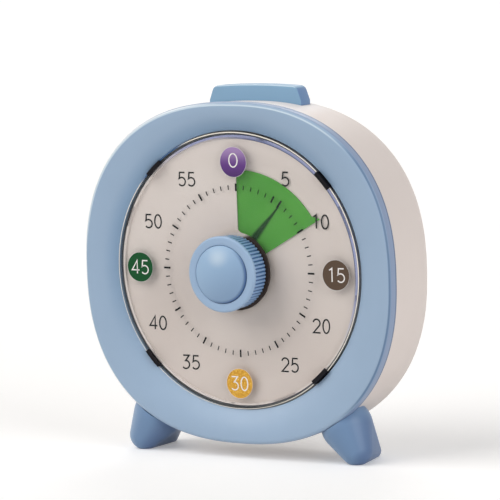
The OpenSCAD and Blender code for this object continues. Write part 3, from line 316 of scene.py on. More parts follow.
def round_ring(r, depth, steps=RING_STEPS, x=0.0, up=0.0):
    return [polar(r, t, depth, x, up) for t in ring_turns(steps)]


def dish_ring(share, behind):
    """Ring of the bezel's dished face, from the case's outline to the window."""
    depth = FACE_DISH * share * share + behind
    outer = case_ring(RIM_ROUND, depth)
    inner = round_ring(WINDOW_R, depth)
    return [o.lerp(i, share) for o, i in zip(outer, inner)]


def case_form(name, inset, front, back, rounding, steps=14):
    """Solid of the case's outline with a rounded back."""
    rings = [case_ring(inset, front)]
    for i in range(steps + 1):
        a = math.pi / 2 * i / steps
        rings.append(case_ring(inset + rounding * (1 - math.cos(a)), back - rounding * (1 - math.sin(a))))
    return skin(name, rings)


def box(name, x, up, depth):
    """Box between pairs of limits."""
    points = [at(i, j, k) for i in x for j in up for k in depth]
    faces = [(0, 1, 3, 2), (4, 6, 7, 5), (0, 4, 5, 1), (2, 3, 7, 6), (0, 2, 6, 4), (1, 5, 7, 3)]
    return mesh_object(name, points, faces)


def block(x, up, width, height, front, back):
    """Box by its middle and size."""
    return box("block", (x - width / 2, x + width / 2), (up - height / 2, up + height / 2), (front, back))


def rod(r, front, back, x=0.0, up=0.0, steps=64):
    return skin("rod", [round_ring(r, front, steps, x, up), round_ring(r, back, steps, x, up)])


def upright(r, low, high, x, depth, steps=48):
    return skin("upright", [[at(x + r * math.sin(t), up, depth + r * math.cos(t)) for t in ring_turns(steps)]
                            for up in (low, high)])


def lathe(name, profile, steps, radius=None):
    """Surface of revolution about the dial's axis through (radius, depth) pairs."""
    rings = []
    for r, depth in profile:
        rings.append([polar(radius(r, depth, k) if radius else r, t, depth)
                      for k, t in enumerate(ring_turns(steps))])
    return skin(name, rings)


# ---------- materials ----------

CLOUD_SCALE = 45.0
GLOSS_SCALE = 160.0
GRAIN_SCALE = 2600.0
GRAIN_DEPTH = 0.00001
PLASTIC_IOR = 1.46
INK_SHEEN = 0.08
EDGE_LINE_R = 53.5
# Painted shadow streak on the green film: its turn, offset, start and end
SHADOW_STREAK_ANGLE = 42.0
SHADOW_STREAK_OFFSET = 3.57
SHADOW_STREAK_FROM = 12.0
SHADOW_STREAK_END = 33.0
# Place of the painted highlight on the cap's dome
CAP_HIGHLIGHT_X = -0.5
CAP_HIGHLIGHT_UP = 6.8
CELL_BAND_X = 11.0


def linear(value):
    c = value / 255
    return c / 12.92 if c <= 0.04045 else ((c + 0.055) / 1.055) ** 2.4


def rgb(r, g, b):
    return (linear(r), linear(g), linear(b), 1.0)


def shade(colour, factor):
    return tuple(min(1.0, c * factor) for c in colour[:3]) + (1.0,)


class Nodes:
    """A material's node tree, with short ways to add what the finishes need."""

    def __init__(self, name):
        self.mat = bpy.data.materials.new(name)
        self.mat.use_nodes = True
        self.tree = self.mat.node_tree
        self.shader = self.tree.nodes["Principled BSDF"]
        self.coords = self.node("ShaderNodeTexCoord")["Object"]

    def feed(self, socket, value):
        """Sets a socket to a number, vector or colour, or links another node's output to it."""
        if isinstance(value, (tuple, float, int)):
            socket.default_value = value
        else:
            self.tree.links.new(value, socket)

    def node(self, kind, inputs=(), **settings):
        """Outputs of a new node with these inputs and settings."""
        node = self.tree.nodes.new(kind)
        for key, value in settings.items():
            setattr(node, key, value)
        for key, value in dict(inputs).items():
            self.feed(node.inputs[key], value)
        return node.outputs

    def pattern(self, kind, inputs, **settings):
        """Outputs of a texture or mapping over the object's own coordinates."""
        return self.node(kind, {"Vector": self.coords, **inputs}, **settings)

    def noise(self, scale, detail=4.0, roughness=0.55, stretch=None):
        source = self.coords
        if stretch:
            source = self.pattern("ShaderNodeMapping", {"Scale": stretch})["Vector"]
        return self.pattern("ShaderNodeTexNoise", {
            "Vector": source, "Scale": scale, "Detail": detail, "Roughness": roughness})["Fac"]

    def math(self, operation, *values):
        return self.node("ShaderNodeMath", enumerate(values), operation=operation)[0]

    def add(self, a, b):
        return self.math("ADD", a, b)

    def mul(self, a, b):
        return self.math("MULTIPLY", a, b)

    def spread(self, value, low, high, to_low=0.0, to_high=1.0):
        """Smooth step from one value to another between two limits."""
        return self.node("ShaderNodeMapRange", {
            "Value": value, "From Min": low, "From Max": high, "To Min": to_low, "To Max": to_high,
        }, interpolation_type="SMOOTHSTEP")["Result"]

    def mix(self, share, a, b):
        return self.node("ShaderNodeMix", {0: share, 6: a, 7: b}, data_type="RGBA")[2]

    def clouded(self, low, high):
        """Soft clouding between two colours."""
        return self.mix(self.noise(CLOUD_SCALE, 3.0), low, high)

    def split(self, vector):
        return self.node("ShaderNodeSeparateXYZ", {0: vector})

    def place(self):
        """The object's own x, y, z in metres."""
        return self.split(self.coords)

    def facing(self):
        """The surface's own x, y, z directions."""
        return self.split(self.node("ShaderNodeNewGeometry")["Normal"])

    def across(self):
        """Distances in metres to the right of and above the dial's axis."""
        x, _, z = self.place()
        return x, self.add(z, -DIAL_Z * MM)

    def toward(self, right, above):
        """Distance in metres from the dial's axis in a direction."""
        x, up = self.across()
        return self.add(self.mul(x, right), self.mul(up, above))

    def from_axis(self):
        """Distance in millimetres from the dial's axis."""
        x, up = self.across()
        square = self.add(self.mul(x, x), self.mul(up, up))
        return self.mul(self.math("SQRT", square), 1 / MM)

    def set(self, **values):
        """Feeds the shader's inputs, with _ for the spaces in their names."""
        for key, value in values.items():
            self.feed(self.shader.inputs[key.replace("_", " ")], value)

    def colour(self, value):
        self.set(Base_Color=value)

    def bump(self, height, strength, distance=GRAIN_DEPTH):
        inputs = {"Height": height, "Strength": strength, "Distance": distance}
        self.set(Normal=self.node("ShaderNodeBump", inputs)["Normal"])

    def finished(self, low, high, scale, **values):
        """The material, with uneven roughness between two limits and other values set."""
        self.set(Roughness=self.spread(self.noise(scale), 0.3, 0.7, low, high), **values)
        return self.mat

    def moulded(self, low, high, scale=GLOSS_SCALE, grain=0.25, sheen=0.5):
        """The material of a moulded plastic, with a fine spark grain."""
        self.bump(self.noise(GRAIN_SCALE, 2.0), grain)
        return self.finished(low, high, scale, IOR=PLASTIC_IOR, Specular_IOR_Level=sheen)


def plastic(name, colour, low=0.35, sheen=0.5):
    """Moulded plastic with soft clouding of the colour."""
    n = Nodes(name)
    n.colour(n.clouded(shade(colour, 0.96), shade(colour, 1.04)))
    return n.moulded(low, low + 0.1, sheen=sheen)


def metal(name, colour, low=0.22, high=0.36):
    """Drawn or stamped metal with fine lengthwise scratches."""
    n = Nodes(name)
    streak = n.noise(420.0, 5.0, 0.6, (1.0, 1.0, 14.0))
    n.colour(n.mix(streak, shade(colour, 0.86), shade(colour, 1.06)))
    n.bump(streak, 0.2)
    return n.finished(low, high, 300.0, Metallic=1.0)


def ink(name, colour):
    """Printed ink, slightly uneven."""
    n = Nodes(name)
    n.colour(n.mix(n.noise(1500.0, 2.0), shade(colour, 0.9), shade(colour, 1.1)))
    return n.finished(0.5, 0.6, 300.0, Specular_IOR_Level=INK_SHEEN)


def bezel_material():
    """Moulded blue with painted light and shade: painted shade near the window above and to the left,
    darker violet painted shade on the side band, a painted highlight and a painted dark line along the
    front edge, and painted shade in the seam."""
    n = Nodes("bezel_plastic")
    x, up = n.across()
    r = n.from_axis()
    # painted shade on the inner slope near the window, above and to the left
    shaded = n.spread(n.toward(0.55, -0.84), -0.045, 0.02, 1.0, 0.0)
    near = n.spread(r, WINDOW_R + 0.5, WINDOW_R + 7.5, 1.0, 0.0)
    cloud = n.clouded(rgb(146, 169, 194), rgb(154, 177, 202))
    face = n.mix(n.mul(n.mul(shaded, near), 0.55), cloud, rgb(108, 142, 176))
    nx, _, nz = n.facing()
    out = n.math("DIVIDE", n.add(n.mul(nx, x), n.mul(nz, up)), n.mul(r, MM))
    # painted shade: darker violet where the surface faces outward, on the side band
    band_shaded = n.mix(n.spread(out, 0.8, 0.95), face, rgb(134, 152, 182))
    # painted highlight: a pale line along the crest of the front edge, at the top
    crest = n.mul(n.spread(out, 0.03, 0.1), n.spread(out, 0.3, 0.5, 1.0, 0.0))
    upper = n.spread(n.toward(-0.3, 0.9), 0.026, 0.042, 0.0, 0.75)
    crest_highlighted = n.mix(n.mul(crest, upper), band_shaded, rgb(206, 222, 232))
    shoulder = n.mul(n.spread(out, 0.3, 0.5), n.spread(out, 0.75, 0.9, 1.0, 0.0))
    # painted shade: a dark line on the rounding of the front edge, on the right
    right = n.spread(x, 0.045, 0.06, 0.0, 0.75)
    right_edge_shaded = n.mix(n.mul(shoulder, right), crest_highlighted, rgb(72, 104, 142))
    # painted highlight: a near-white line on the rounding of the front edge, at the left and top
    left = n.spread(n.toward(-1.0, 0.3), 0.02, 0.045, 0.0, 0.85)
    left_edge_highlighted = n.mix(n.mul(shoulder, left), right_edge_shaded, rgb(230, 236, 240))
    # painted shade: a dark line in the seam at the back of the side band, against the shell
    seam_from = (FRONT_Y + BAND_DEPTH - 0.9) * MM
    behind = n.spread(n.place()[1], seam_from, seam_from + 0.2 * MM, 0.0, 0.8)
    n.colour(n.mix(n.mul(behind, n.spread(out, 0.5, 0.8)), left_edge_highlighted, rgb(74, 96, 132)))
    return n.moulded(0.34, 0.42)


def shell_material():
    """Moulded cream, with painted light making it palest where it faces up."""
    n = Nodes("shell_plastic")
    base = n.clouded(rgb(220, 209, 203), rgb(224, 213, 207))
    # painted light: paler where the surface faces up
    n.colour(n.mix(n.spread(n.facing()[2], 0.93, 0.985, 0.0, 0.9), base, rgb(240, 235, 233)))
    return n.moulded(0.44, 0.52)


def collar_material():
    """Dark collar, dial-coloured toward the upper left."""
    n = Nodes("collar_plastic")
    dark = n.clouded(rgb(50, 41, 38), rgb(60, 50, 46))
    n.colour(n.mix(n.spread(n.toward(-0.34, 0.94), 0.0108, 0.0128), dark, rgb(206, 196, 189)))
    return n.finished(0.5, 0.6, GLOSS_SCALE, Specular_IOR_Level=0.2)


def knob_material():
    """Moulded blue, a little deeper on the side than on the front ring, with painted shade darkening the
    grooves.
    """
    n = Nodes("knob_plastic")
    # painted shade: darker toward the bottom of each groove between the ribs
    groove_shade = n.spread(n.from_axis(), KNOB_BACK_R - RIB_HEIGHT, KNOB_BACK_R - 0.1, 1.0, 0.0)
    front_y = FRONT_Y - KNOB_FRONT
    behind = n.spread(n.place()[1], (front_y + KNOB_BAND) * MM, (front_y + RIBS_FROM) * MM)
    front = n.clouded(rgb(148, 174, 204), rgb(154, 180, 209))
    n.colour(n.mix(behind, front, n.mix(groove_shade, rgb(138, 170, 208), rgb(46, 88, 138))))
    return n.moulded(0.3, 0.36, 60.0, 0.2)


def cap_material():
    """Moulded dome with painted light paler at the upper left, a painted highlight there, and painted shade
    deep in the crevice at the lower right.
    """
    n = Nodes("cap_plastic")
    x, up = n.across()
    # painted light: paler toward the upper left
    lit = n.spread(n.toward(-0.6, 0.8), -0.012, 0.010)
    base = n.mix(lit, rgb(130, 158, 190), rgb(148, 178, 208))
    # painted highlight: a soft pale spot on the dome at the upper left
    right, above = n.add(x, -CAP_HIGHLIGHT_X * MM), n.add(up, -CAP_HIGHLIGHT_UP * MM)
    square = n.add(n.mul(right, right), n.mul(n.mul(above, above), 1.6))
    highlight = n.spread(n.math("SQRT", square), 0.0002, 0.0062, 0.55, 0.0)
    highlighted = n.mix(highlight, base, rgb(196, 212, 224))
    # painted shade: dark in the crevice at the dome's edge, toward the lower right
    rim = n.spread(n.from_axis(), CAP_R - 1.5, CAP_R - 0.1)
    away = n.spread(n.toward(0.87, -0.5), -0.002, 0.009, 0.0, 0.85)
    n.colour(n.mix(n.mul(rim, away), highlighted, rgb(36, 76, 128)))
    return n.moulded(0.3, 0.34, 40.0, 0.15)


def bar_material():
    """Moulded blue with painted shade on the end faces and a painted highlight along the front top edge."""
    n = Nodes("bar_plastic")
    nx, ny, nz = n.facing()
    # painted shade: darker where the surface faces left or right, on the end faces
    end_face_shade = n.spread(n.math("ABSOLUTE", nx), 0.55, 0.8)
    # painted highlight: a pale line where the surface faces forward and up, along the front top edge
    edge = n.spread(n.mul(n.mul(ny, -1.0), nz), 0.36, 0.47, 0.0, 0.8)
    end_faces_shaded = n.mix(end_face_shade, n.clouded(rgb(126, 163, 192), rgb(132, 168, 198)), rgb(98, 132, 176))
    n.colour(n.mix(edge, end_faces_shaded, rgb(208, 228, 238)))
    return n.moulded(0.34, 0.4, 60.0, 0.2)


def foot_material():
    """Moulded blue, with painted light paler on the left and painted shade violet-dark where it faces right
    and down.
    """
    n = Nodes("foot_plastic")
    nx, _, nz = n.facing()
    # painted light: paler where the surface faces left
    left = n.spread(nx, -0.95, -0.1, 0.8, 0.0)
    # painted shade: violet-dark where the surface faces right and down
    low = n.spread(n.add(nx, n.mul(nz, -0.6)), 0.3, 1.0, 0.0, 0.55)
    lit = n.mix(left, n.clouded(rgb(104, 133, 168), rgb(110, 139, 174)), rgb(146, 168, 194))
    n.colour(n.mix(low, lit, rgb(70, 92, 136)))
    return n.moulded(0.38, 0.46, 60.0, 0.2)


def coil_material():
    """Enamelled copper wire wound round the bobbin along x."""
    n = Nodes("copper_winding")
    wave = n.pattern("ShaderNodeTexWave", {"Scale": 900.0, "Distortion": 0.6}, wave_type="BANDS",
                     bands_direction="X")["Fac"]
    n.colour(n.mix(wave, rgb(120, 58, 26), rgb(206, 122, 66)))
    n.bump(wave, 0.6, 0.00005)
    n.set(Metallic=0.85, Roughness=0.34)
    return n.mat


def board_material():
    """Green solder mask over faint copper tracks."""
    n = Nodes("board_mask")
    tracks = n.pattern("ShaderNodeTexBrick", {
        "Scale": 160.0, "Mortar Size": 0.03, "Color1": rgb(24, 96, 52), "Color2": rgb(28, 104, 58),
        "Mortar": rgb(52, 132, 78)})["Color"]
    n.colour(n.mix(n.noise(220.0), tracks, rgb(22, 88, 48)))
    return n.finished(0.28, 0.4, 200.0)


def cell_material():
    """Battery jacket: a plain printed sleeve with a coppery band at one end."""
    n = Nodes("cell_jacket_film")
    band = n.spread(n.place()[0], (CELL_BAND_X - 0.2) * MM, (CELL_BAND_X + 0.2) * MM)
    n.colour(n.mix(band, rgb(44, 46, 50), rgb(196, 140, 84)))
    n.bump(n.noise(900.0), 0.1, 0.00002)
    return n.finished(0.2, 0.32, 240.0, Metallic=0.4)


def dial_material():
    """Matt dial film, warm white with faint mottling, with painted light making it paler to the top,
    and at its upper right edge a painted shadow line and a painted reflection in lavender."""
    n = Nodes("dial_film")
    # painted light: paler toward the top
    lift = n.spread(n.place()[2], (DIAL_Z - 50) * MM, (DIAL_Z + 55) * MM)
    base = n.mix(lift, rgb(206, 195, 188), rgb(218, 209, 203))
    film = n.mix(n.spread(n.noise(24.0, 3.0), 0.35, 0.65, 0.0, 0.3), base, rgb(204, 190, 183))
    # painted shadow: a dark line at the dial's edge, and painted reflection: lavender beyond it, at the
    # upper right only
    bright = n.spread(n.toward(0.72, 0.69), 0.026, 0.044)
    r = n.from_axis()
    ring = n.mul(n.spread(r, EDGE_LINE_R, EDGE_LINE_R + 0.2), bright)
    reflection_band = n.spread(r, EDGE_LINE_R + 0.25, EDGE_LINE_R + 0.5)
    n.colour(n.mix(ring, film, n.mix(reflection_band, rgb(52, 66, 104), rgb(136, 146, 190))))
    n.bump(n.noise(1800.0), 0.1)
    return n.finished(0.5, 0.6, 120.0, Specular_IOR_Level=0.3)


def disc_material():
    """Green film with a soft dark painted shadow streak from the collar to the sixth minute of the shown
    time.
    """
    n = Nodes("disc_film")
    # painted shadow: a soft dark streak, wide at the collar and narrowing outward
    streak_turn = math.radians(SHADOW_STREAK_ANGLE)
    along = n.toward(math.sin(streak_turn), math.cos(streak_turn))
    beside = n.toward(math.cos(streak_turn), -math.sin(streak_turn))
    width = n.spread(along, SHADOW_STREAK_FROM * MM, (SHADOW_STREAK_END + 1) * MM, 0.0026, 0.0005)
    near = n.math("DIVIDE", n.math("ABSOLUTE", n.add(beside, SHADOW_STREAK_OFFSET * MM)), width)
    length = n.mul(n.math("GREATER_THAN", along, 0.0),
                   n.spread(along, (SHADOW_STREAK_END - 1.5) * MM, SHADOW_STREAK_END * MM, 1.0, 0.0))
    share = n.mul(n.spread(near, 0.3, 1.0, 1.0, 0.0), length)
    base = n.mix(n.spread(n.noise(60.0, 3.0), 0.35, 0.65), rgb(70, 148, 48), rgb(78, 155, 54))
    n.colour(n.mix(share, base, rgb(0, 56, 0)))
    n.bump(n.noise(1600.0), 0.1)
    return n.finished(0.42, 0.5, 150.0, Specular_IOR_Level=0.12)


def purple_material():
    """Purple ink that fades from pale at the top to deep at the bottom."""
    n = Nodes("purple_ink")
    z = n.place()[2]
    middle = (DIAL_Z + TOP_SPOT_R) * MM
    upper = n.spread(z, middle - 2 * MM, middle + SPOT_R * MM)
    lower = n.spread(z, middle - SPOT_R * MM, middle - MM)
    n.colour(n.mix(upper, n.mix(lower, rgb(60, 14, 92), rgb(84, 34, 118)), rgb(158, 128, 178)))
    return n.finished(0.4, 0.5, 300.0)


def gold_material():
    """Gold ink with coarse glitter."""
    n = Nodes("gold_glitter_ink")
    cells = n.pattern("ShaderNodeTexVoronoi", {"Scale": 4200.0}, feature="F1")
    first, second, _ = n.node("ShaderNodeSeparateColor", {0: cells["Color"]})
    dark = n.mix(first, rgb(176, 118, 18), rgb(222, 168, 44))
    n.colour(n.mix(n.spread(second, 0.8, 0.95), dark, rgb(246, 206, 96)))
    return n.finished(0.4, 0.55, 900.0, Metallic=0.15)


def ring_material():
    """Ring at the dial's edge: dial white below and to the left, a painted reflection in lavender above and
    to the right, and painted shade dark at its outer edge.
    """
    n = Nodes("dial_ring_plastic")
    # painted shade: dark at the outer edge, in the gap under the lens's rim
    outer = n.spread(n.from_axis(), DIAL_R - 0.45, DIAL_R - 0.25, 1.0, 0.0)
    lavender = n.mix(n.noise(70.0, 2.0), rgb(146, 152, 190), rgb(160, 166, 202))
    # painted reflection: lavender above and to the right
    body = n.mix(n.spread(n.toward(0.62, 0.78), 0.004, 0.03), rgb(214, 205, 199), lavender)
    n.colour(n.mix(outer, rgb(20, 28, 46), body))
    return n.finished(0.3, 0.4, 200.0)


def edge_material():
    """Painted highlight: a cream line at the window's edge, painted shade deep blue at the upper left."""
    n = Nodes("edge_highlight_paint")
    x, up = n.across()
    # painted shade: deep blue at the upper left
    shaded = n.mul(n.spread(x, -28 * MM, -20 * MM, 1.0, 0.0), n.spread(up, 33 * MM, 38 * MM))
    # painted highlight: cream
    cream = n.mix(n.noise(1500.0, 2.0), rgb(230, 224, 212), rgb(246, 240, 228))
    n.colour(n.mix(shaded, cream, rgb(64, 100, 148)))
    return n.finished(0.3, 0.4, 300.0, Specular_IOR_Level=INK_SHEEN)


def lens_material():
    """Clear acrylic: nearly all light goes straight through, with a thin sheen."""
    n = Nodes("lens_acrylic")
    n.colour(rgb(236, 242, 246))
    return n.finished(0.05, 0.09, 90.0, Alpha=0.02, IOR=1.3)


shell_mat = shell_material()
foot_mat = foot_material()
dial_mat = dial_material()
ink_black = ink("black_ink", rgb(6, 6, 7))
ink_white = ink("white_ink", rgb(236, 232, 230))

# ---------- bezel ----------

def bezel_rings():
    round_steps = 8
    dish_steps = 18
    rings = [case_ring(0, BAND_DEPTH)]
    for i in range(round_steps + 1):
        a = math.pi / 2 * i / round_steps
        rings.append(case_ring(RIM_ROUND * (1 - math.cos(a)), RIM_ROUND * (1 - math.sin(a))))
    rings += [dish_ring(i / dish_steps, 0) for i in range(1, dish_steps + 1)]
    rings += [dish_ring(1 - i / dish_steps, BEZEL_WALL) for i in range(dish_steps + 1)]
    rings += [case_ring(BEZEL_WALL, BEZEL_WALL + 1), case_ring(BEZEL_WALL, BAND_DEPTH)]
    return rings


bezel = skin("bezel", bezel_rings(), closed=True)
finish_piece(bezel, bezel_material(), "case", ["front_bezel"])

# ---------- rear shell ----------

def bay_box(grow, front, back):
    return block(0, -BAY_DROP, 2 * (BAY_HALF_W + grow), 2 * (BAY_HALF_H + grow), front, back)


def bar_well(grow, low):
    half_w = BAR_W / 2 + BAR_GAP + grow
    half_t = BAR_T / 2 + BAR_GAP + grow
    return box("well", (-half_w, half_w), (low, BAR_TOP), (BAR_DEPTH - half_t, BAR_DEPTH + half_t))


def rods(places, r, front, back, steps=64):
    return [rod(r, front, back, x, up, steps) for x, up in places]


def shell_fittings():
    """Screw towers, battery bay, board posts, buzzer ring and bar well, trimmed to the shell."""
    middle = (BUZZER_X, BUZZER_UP, 96)
    cup = rod(BUZZER_R + BUZZER_WALL, WALL_BACK - BUZZER_CUP, CASE_DEPTH, *middle)
    boolean(cup, rod(BUZZER_R + FIT, WALL_BACK - BUZZER_CUP - PAST, CASE_DEPTH + PAST, *middle))
    shelf = block(0, SHELF_TOP - SHELF_T / 2, SHELF_W, SHELF_T, BAR_DEPTH - SHELF_REACH, CASE_DEPTH)
    towers = rods(CORNERS, WELL_R + WELL_WALL, BOSS_END, CASE_DEPTH)
    fittings = joined(towers + rods(PCB_SCREWS, PCB_POST_R, PCB_BACK, CASE_DEPTH))
    for piece in (cup, bay_box(BAY_WALL, BAY_FLOOR - BAY_WALL, CASE_DEPTH),
                  bar_well(BAR_WELL_WALL, BAR_FLOOR_TOP - BAR_FLOOR_T), shelf):
        boolean(fittings, piece, "UNION")
    half = SHELL_WALL / 2
    trim = case_form("trim", SHELL_STEP + half, BAND_DEPTH, CASE_DEPTH - half, SHELL_ROUND - half)
    return boolean(fittings, trim, "INTERSECT")


def sound_holes():
    """Holes in a hexagon of rows over the buzzer."""
    places = []
    for i in range(-2, 3):
        for j in range(-2, 3):
            if abs(i + j) <= 2:
                places.append((BUZZER_X + SOUND_HOLE_PITCH * (i + j / 2),
                               BUZZER_UP + SOUND_HOLE_PITCH * j * math.sin(math.pi / 3)))
    return rods(places, SOUND_HOLE_R, WALL_BACK - PAST, CASE_DEPTH + PAST, 32)


def foot_screw_cut(side):
    """Hole for a foot's screw, with the flat seat for its head."""
    turn = math.radians(FOOT_SCREW_TURN)
    lean = math.radians(FOOT_SCREW_LEAN)
    reach = case_reach(turn, SHELL_STEP + SHELL_WALL)
    start = polar(reach, side * turn, FOOT_FRONT + FOOT_LENGTH / 2, up=-CASE_DROP)
    out = Vector((side * math.sin(lean), 0, -math.cos(lean)))
    across = Vector((math.cos(lean), 0, side * math.sin(lean)))
    along = Vector((0, 1, 0))
    rings = []
    for r, distance in ((FOOT_SCREW_HEAD_R, -3), (FOOT_SCREW_HEAD_R, FOOT_SCREW_SEAT),
                        (FOOT_SCREW_HOLE_R, FOOT_SCREW_SEAT), (FOOT_SCREW_HOLE_R, 8)):
        rings.append([start + (distance * out + r * (math.sin(t) * across + math.cos(t) * along)) * MM
                      for t in ring_turns(48)])
    return skin("foot_hole", rings)


def rear_shell():
    obj = case_form("shell_smooth", SHELL_STEP, BAND_DEPTH, CASE_DEPTH, SHELL_ROUND)
    boolean(obj, case_form("hollow", SHELL_STEP + SHELL_WALL, BAND_DEPTH - PAST, WALL_BACK,
                           SHELL_ROUND - SHELL_WALL))
    lip_from, lip_to = BAND_DEPTH - LIP_REACH, BAND_DEPTH + LIP_ROOT
    outer = BEZEL_WALL + FIT
    lip = case_form("lip", outer, lip_from, lip_to, LIP_ROUND)
    boolean(lip, case_form("lip_hollow", outer + LIP_WALL, lip_from - PAST, lip_to + PAST, LIP_ROUND))
    boolean(obj, lip, "UNION")
    boolean(obj, shell_fittings(), "UNION")
    cuts = rods(CORNERS, WELL_R, WELL_FLOOR, CASE_DEPTH + PAST)
    cuts += rods(PCB_SCREWS, PCB_HOLE_R, PCB_BACK - PAST, WALL_BACK - PAST, 32)
    cuts += [block(side * (BAY_HALF_W + BAY_WALL / 2), LEAD_SLOT_UP, *LEAD_SLOT) for side in (-1, 1)]
    for r, x in ((BAR_LEG_HOLE_R, -BAR_LEG_X), (BAR_LEG_HOLE_R, BAR_LEG_X), (PLUNGER_HOLE_R, 0)):
        cuts.append(upright(r, BAR_FLOOR_TOP - 3, BAR_FLOOR_TOP + PAST, x, BAR_DEPTH))
    for cutter in (
        joined(cuts + sound_holes()),
        joined(rods(CORNERS, CASE_SCREW_HOLE_R, BOSS_END - PAST, WELL_FLOOR + PAST)),
        bay_box(0, BAY_FLOOR, CASE_DEPTH + PAST),
        bay_box(DOOR_EDGE, CASE_DEPTH - DOOR_PLATE_T, CASE_DEPTH + PAST),
        bar_well(0, BAR_FLOOR_TOP),
        block(VOLUME_X, VOLUME_UP, *VOLUME_RECESS, CASE_DEPTH - PAST, CASE_DEPTH + PAST),
        block(VOLUME_X, VOLUME_UP, *VOLUME_SLOT, WALL_BACK - PAST, CASE_DEPTH),
        foot_screw_cut(-1),
        foot_screw_cut(1),
    ):
        boolean(obj, cutter)
    tidy_mesh(obj.data, 30)
    return obj


finish_piece(rear_shell(), shell_mat, "case", ["rear_shell"])

# ---------- feet ----------

def sphere_points(centre, r, count=32):
    points = []
    for i in range(count + 1):
        lat = math.pi * i / count - math.pi / 2
        for k in range(2 * count):
            lon = math.pi * k / count
            points.append(centre + Vector((math.cos(lat) * math.cos(lon), math.cos(lat) * math.sin(lon),
                                           math.sin(lat))) * r * MM)
    return points


def foot(name, side):
    """Hull of four balls, less the case and what is under the floor."""
    rear = FOOT_FRONT + FOOT_LENGTH
    root_z = FOOT_TIP_Z + FOOT_RISE
    balls = [
        (FOOT_X, FOOT_FRONT, FOOT_TIP_Z, FOOT_TIP_R),
        (FOOT_X - FOOT_TOE_IN, rear, FOOT_HEEL_R - FOOT_FLAT, FOOT_HEEL_R),
        (FOOT_ROOT_X, FOOT_FRONT + FOOT_ROOT_BACK, root_z, FOOT_ROOT_R),
        (FOOT_ROOT_X - FOOT_TOE_IN, rear - FOOT_HEEL_REACH, root_z, FOOT_ROOT_R - FOOT_HEEL_SLIM),
    ]
    bm = bmesh.new()
    for x, depth, z, r in balls:
        for p in sphere_points(at(side * x, z - DIAL_Z, depth), r):
            bm.verts.new(p)
    bmesh.ops.remove_doubles(bm, verts=bm.verts, dist=1e-7)
    bmesh.ops.convex_hull(bm, input=bm.verts)
    bmesh.ops.delete(bm, geom=[v for v in bm.verts if not v.link_faces], context="VERTS")
    mesh = bpy.data.meshes.new(name)
    bm.to_mesh(mesh)
    bm.free()
    tidy_mesh(mesh, 35)
    obj = placed(name, mesh)
    boolean(obj, case_form("cut_case", SHELL_STEP, BAND_DEPTH - PAST, CASE_DEPTH, SHELL_ROUND))
    boolean(obj, skin("cut_band", [case_ring(-FIT, -PAST), case_ring(-FIT, BAND_DEPTH + FIT)]))
    boolean(obj, box("cut_floor", (-CASE_W, CASE_W), (-DIAL_Z - 20, -DIAL_Z), (-20, CASE_DEPTH)))
    tidy_mesh(obj.data, 30)
    return obj


for foot_name, foot_side in (("foot_left", -1), ("foot_right", 1)):
    finish_piece(foot(foot_name + "_smooth", foot_side), foot_mat, "case", [foot_name])

# ---------- top bar ----------

def bar_outline():
    """Hull of the bar's straight lower part and its rounded, slightly crowned top."""
    corner = BAR_W / 2 - BAR_LEAN - BAR_ROUND
    points = [(x, up) for x in (-BAR_W / 2, BAR_W / 2) for up in (BAR_BOTTOM, SHELL_TOP)]
    for i in range(-8, 9):
        x = corner * i / 8
        up = BAR_TOP - BAR_ROUND - BAR_CROWN * (i / 8) ** 2
        points += [(x + BAR_ROUND * math.cos(a), up + BAR_ROUND * math.sin(a)) for a in ring_turns(64)]
    return [points[i] for i in convex_hull_2d([Vector(p) for p in points])]


def top_bar():
    outline = bar_outline()
    obj = skin("press_bar_top", [[at(x, up, BAR_DEPTH + side * BAR_T / 2) for x, up in outline]
                                 for side in (-1, 1)])
    mod = obj.modifiers.new("bevel", "BEVEL")
    mod.width = BAR_EDGE * MM
    mod.segments = 4
    mod.limit_method = "ANGLE"
    mod.angle_limit = math.radians(40)
    apply_modifiers(obj)
    tidy_mesh(obj.data, 30)
    return obj


finish_piece(top_bar(), bar_material(), "press_bar", ["top_bar"])

# ---------- knob and cap ----------

RIB_STEPS = 10


def knob_radius(r, depth, k):
    """Ribs along the knob's side."""
    if depth < -KNOB_FRONT + RIBS_FROM or r < KNOB_BACK_R - 1.2:
        return r
    return r - RIB_HEIGHT * (0.5 - 0.5 * math.cos(2 * math.pi * k / RIB_STEPS)) ** RIB_POWER


def knob_profile():
    front = -KNOB_FRONT
    profile = [(CAP_R + 0.1, front + CAP_SEAT + 0.1), (CAP_R + 0.1, front + 0.25),
               (CAP_R + 0.2, front + 0.08), (CAP_R + 0.45, front), (KNOB_R - KNOB_EDGE, front)]
    for i in range(1, 9):
        a = math.pi / 2 * i / 8
        profile.append((KNOB_R - KNOB_EDGE * (1 - math.sin(a)), front + KNOB_EDGE * (1 - math.cos(a))))
    profile += [(KNOB_R, front + KNOB_BAND - 0.2), (KNOB_R - 0.15, front + KNOB_BAND),
                (KNOB_BACK_R, front + RIBS_FROM + 0.02), (KNOB_BACK_R, SKIRT_BACK - 0.5),
                (KNOB_BACK_R - 0.3, SKIRT_BACK - 0.1), (KNOB_BACK_R - 0.6, SKIRT_BACK),
                (NECK_R, SKIRT_BACK), (NECK_R, NECK_BACK)]
    return profile


knob = lathe("knob_ribbed", knob_profile(), RIB_COUNT * RIB_STEPS, radius=knob_radius)
finish_piece(knob, knob_material(), "dial_knob", ["knob"])


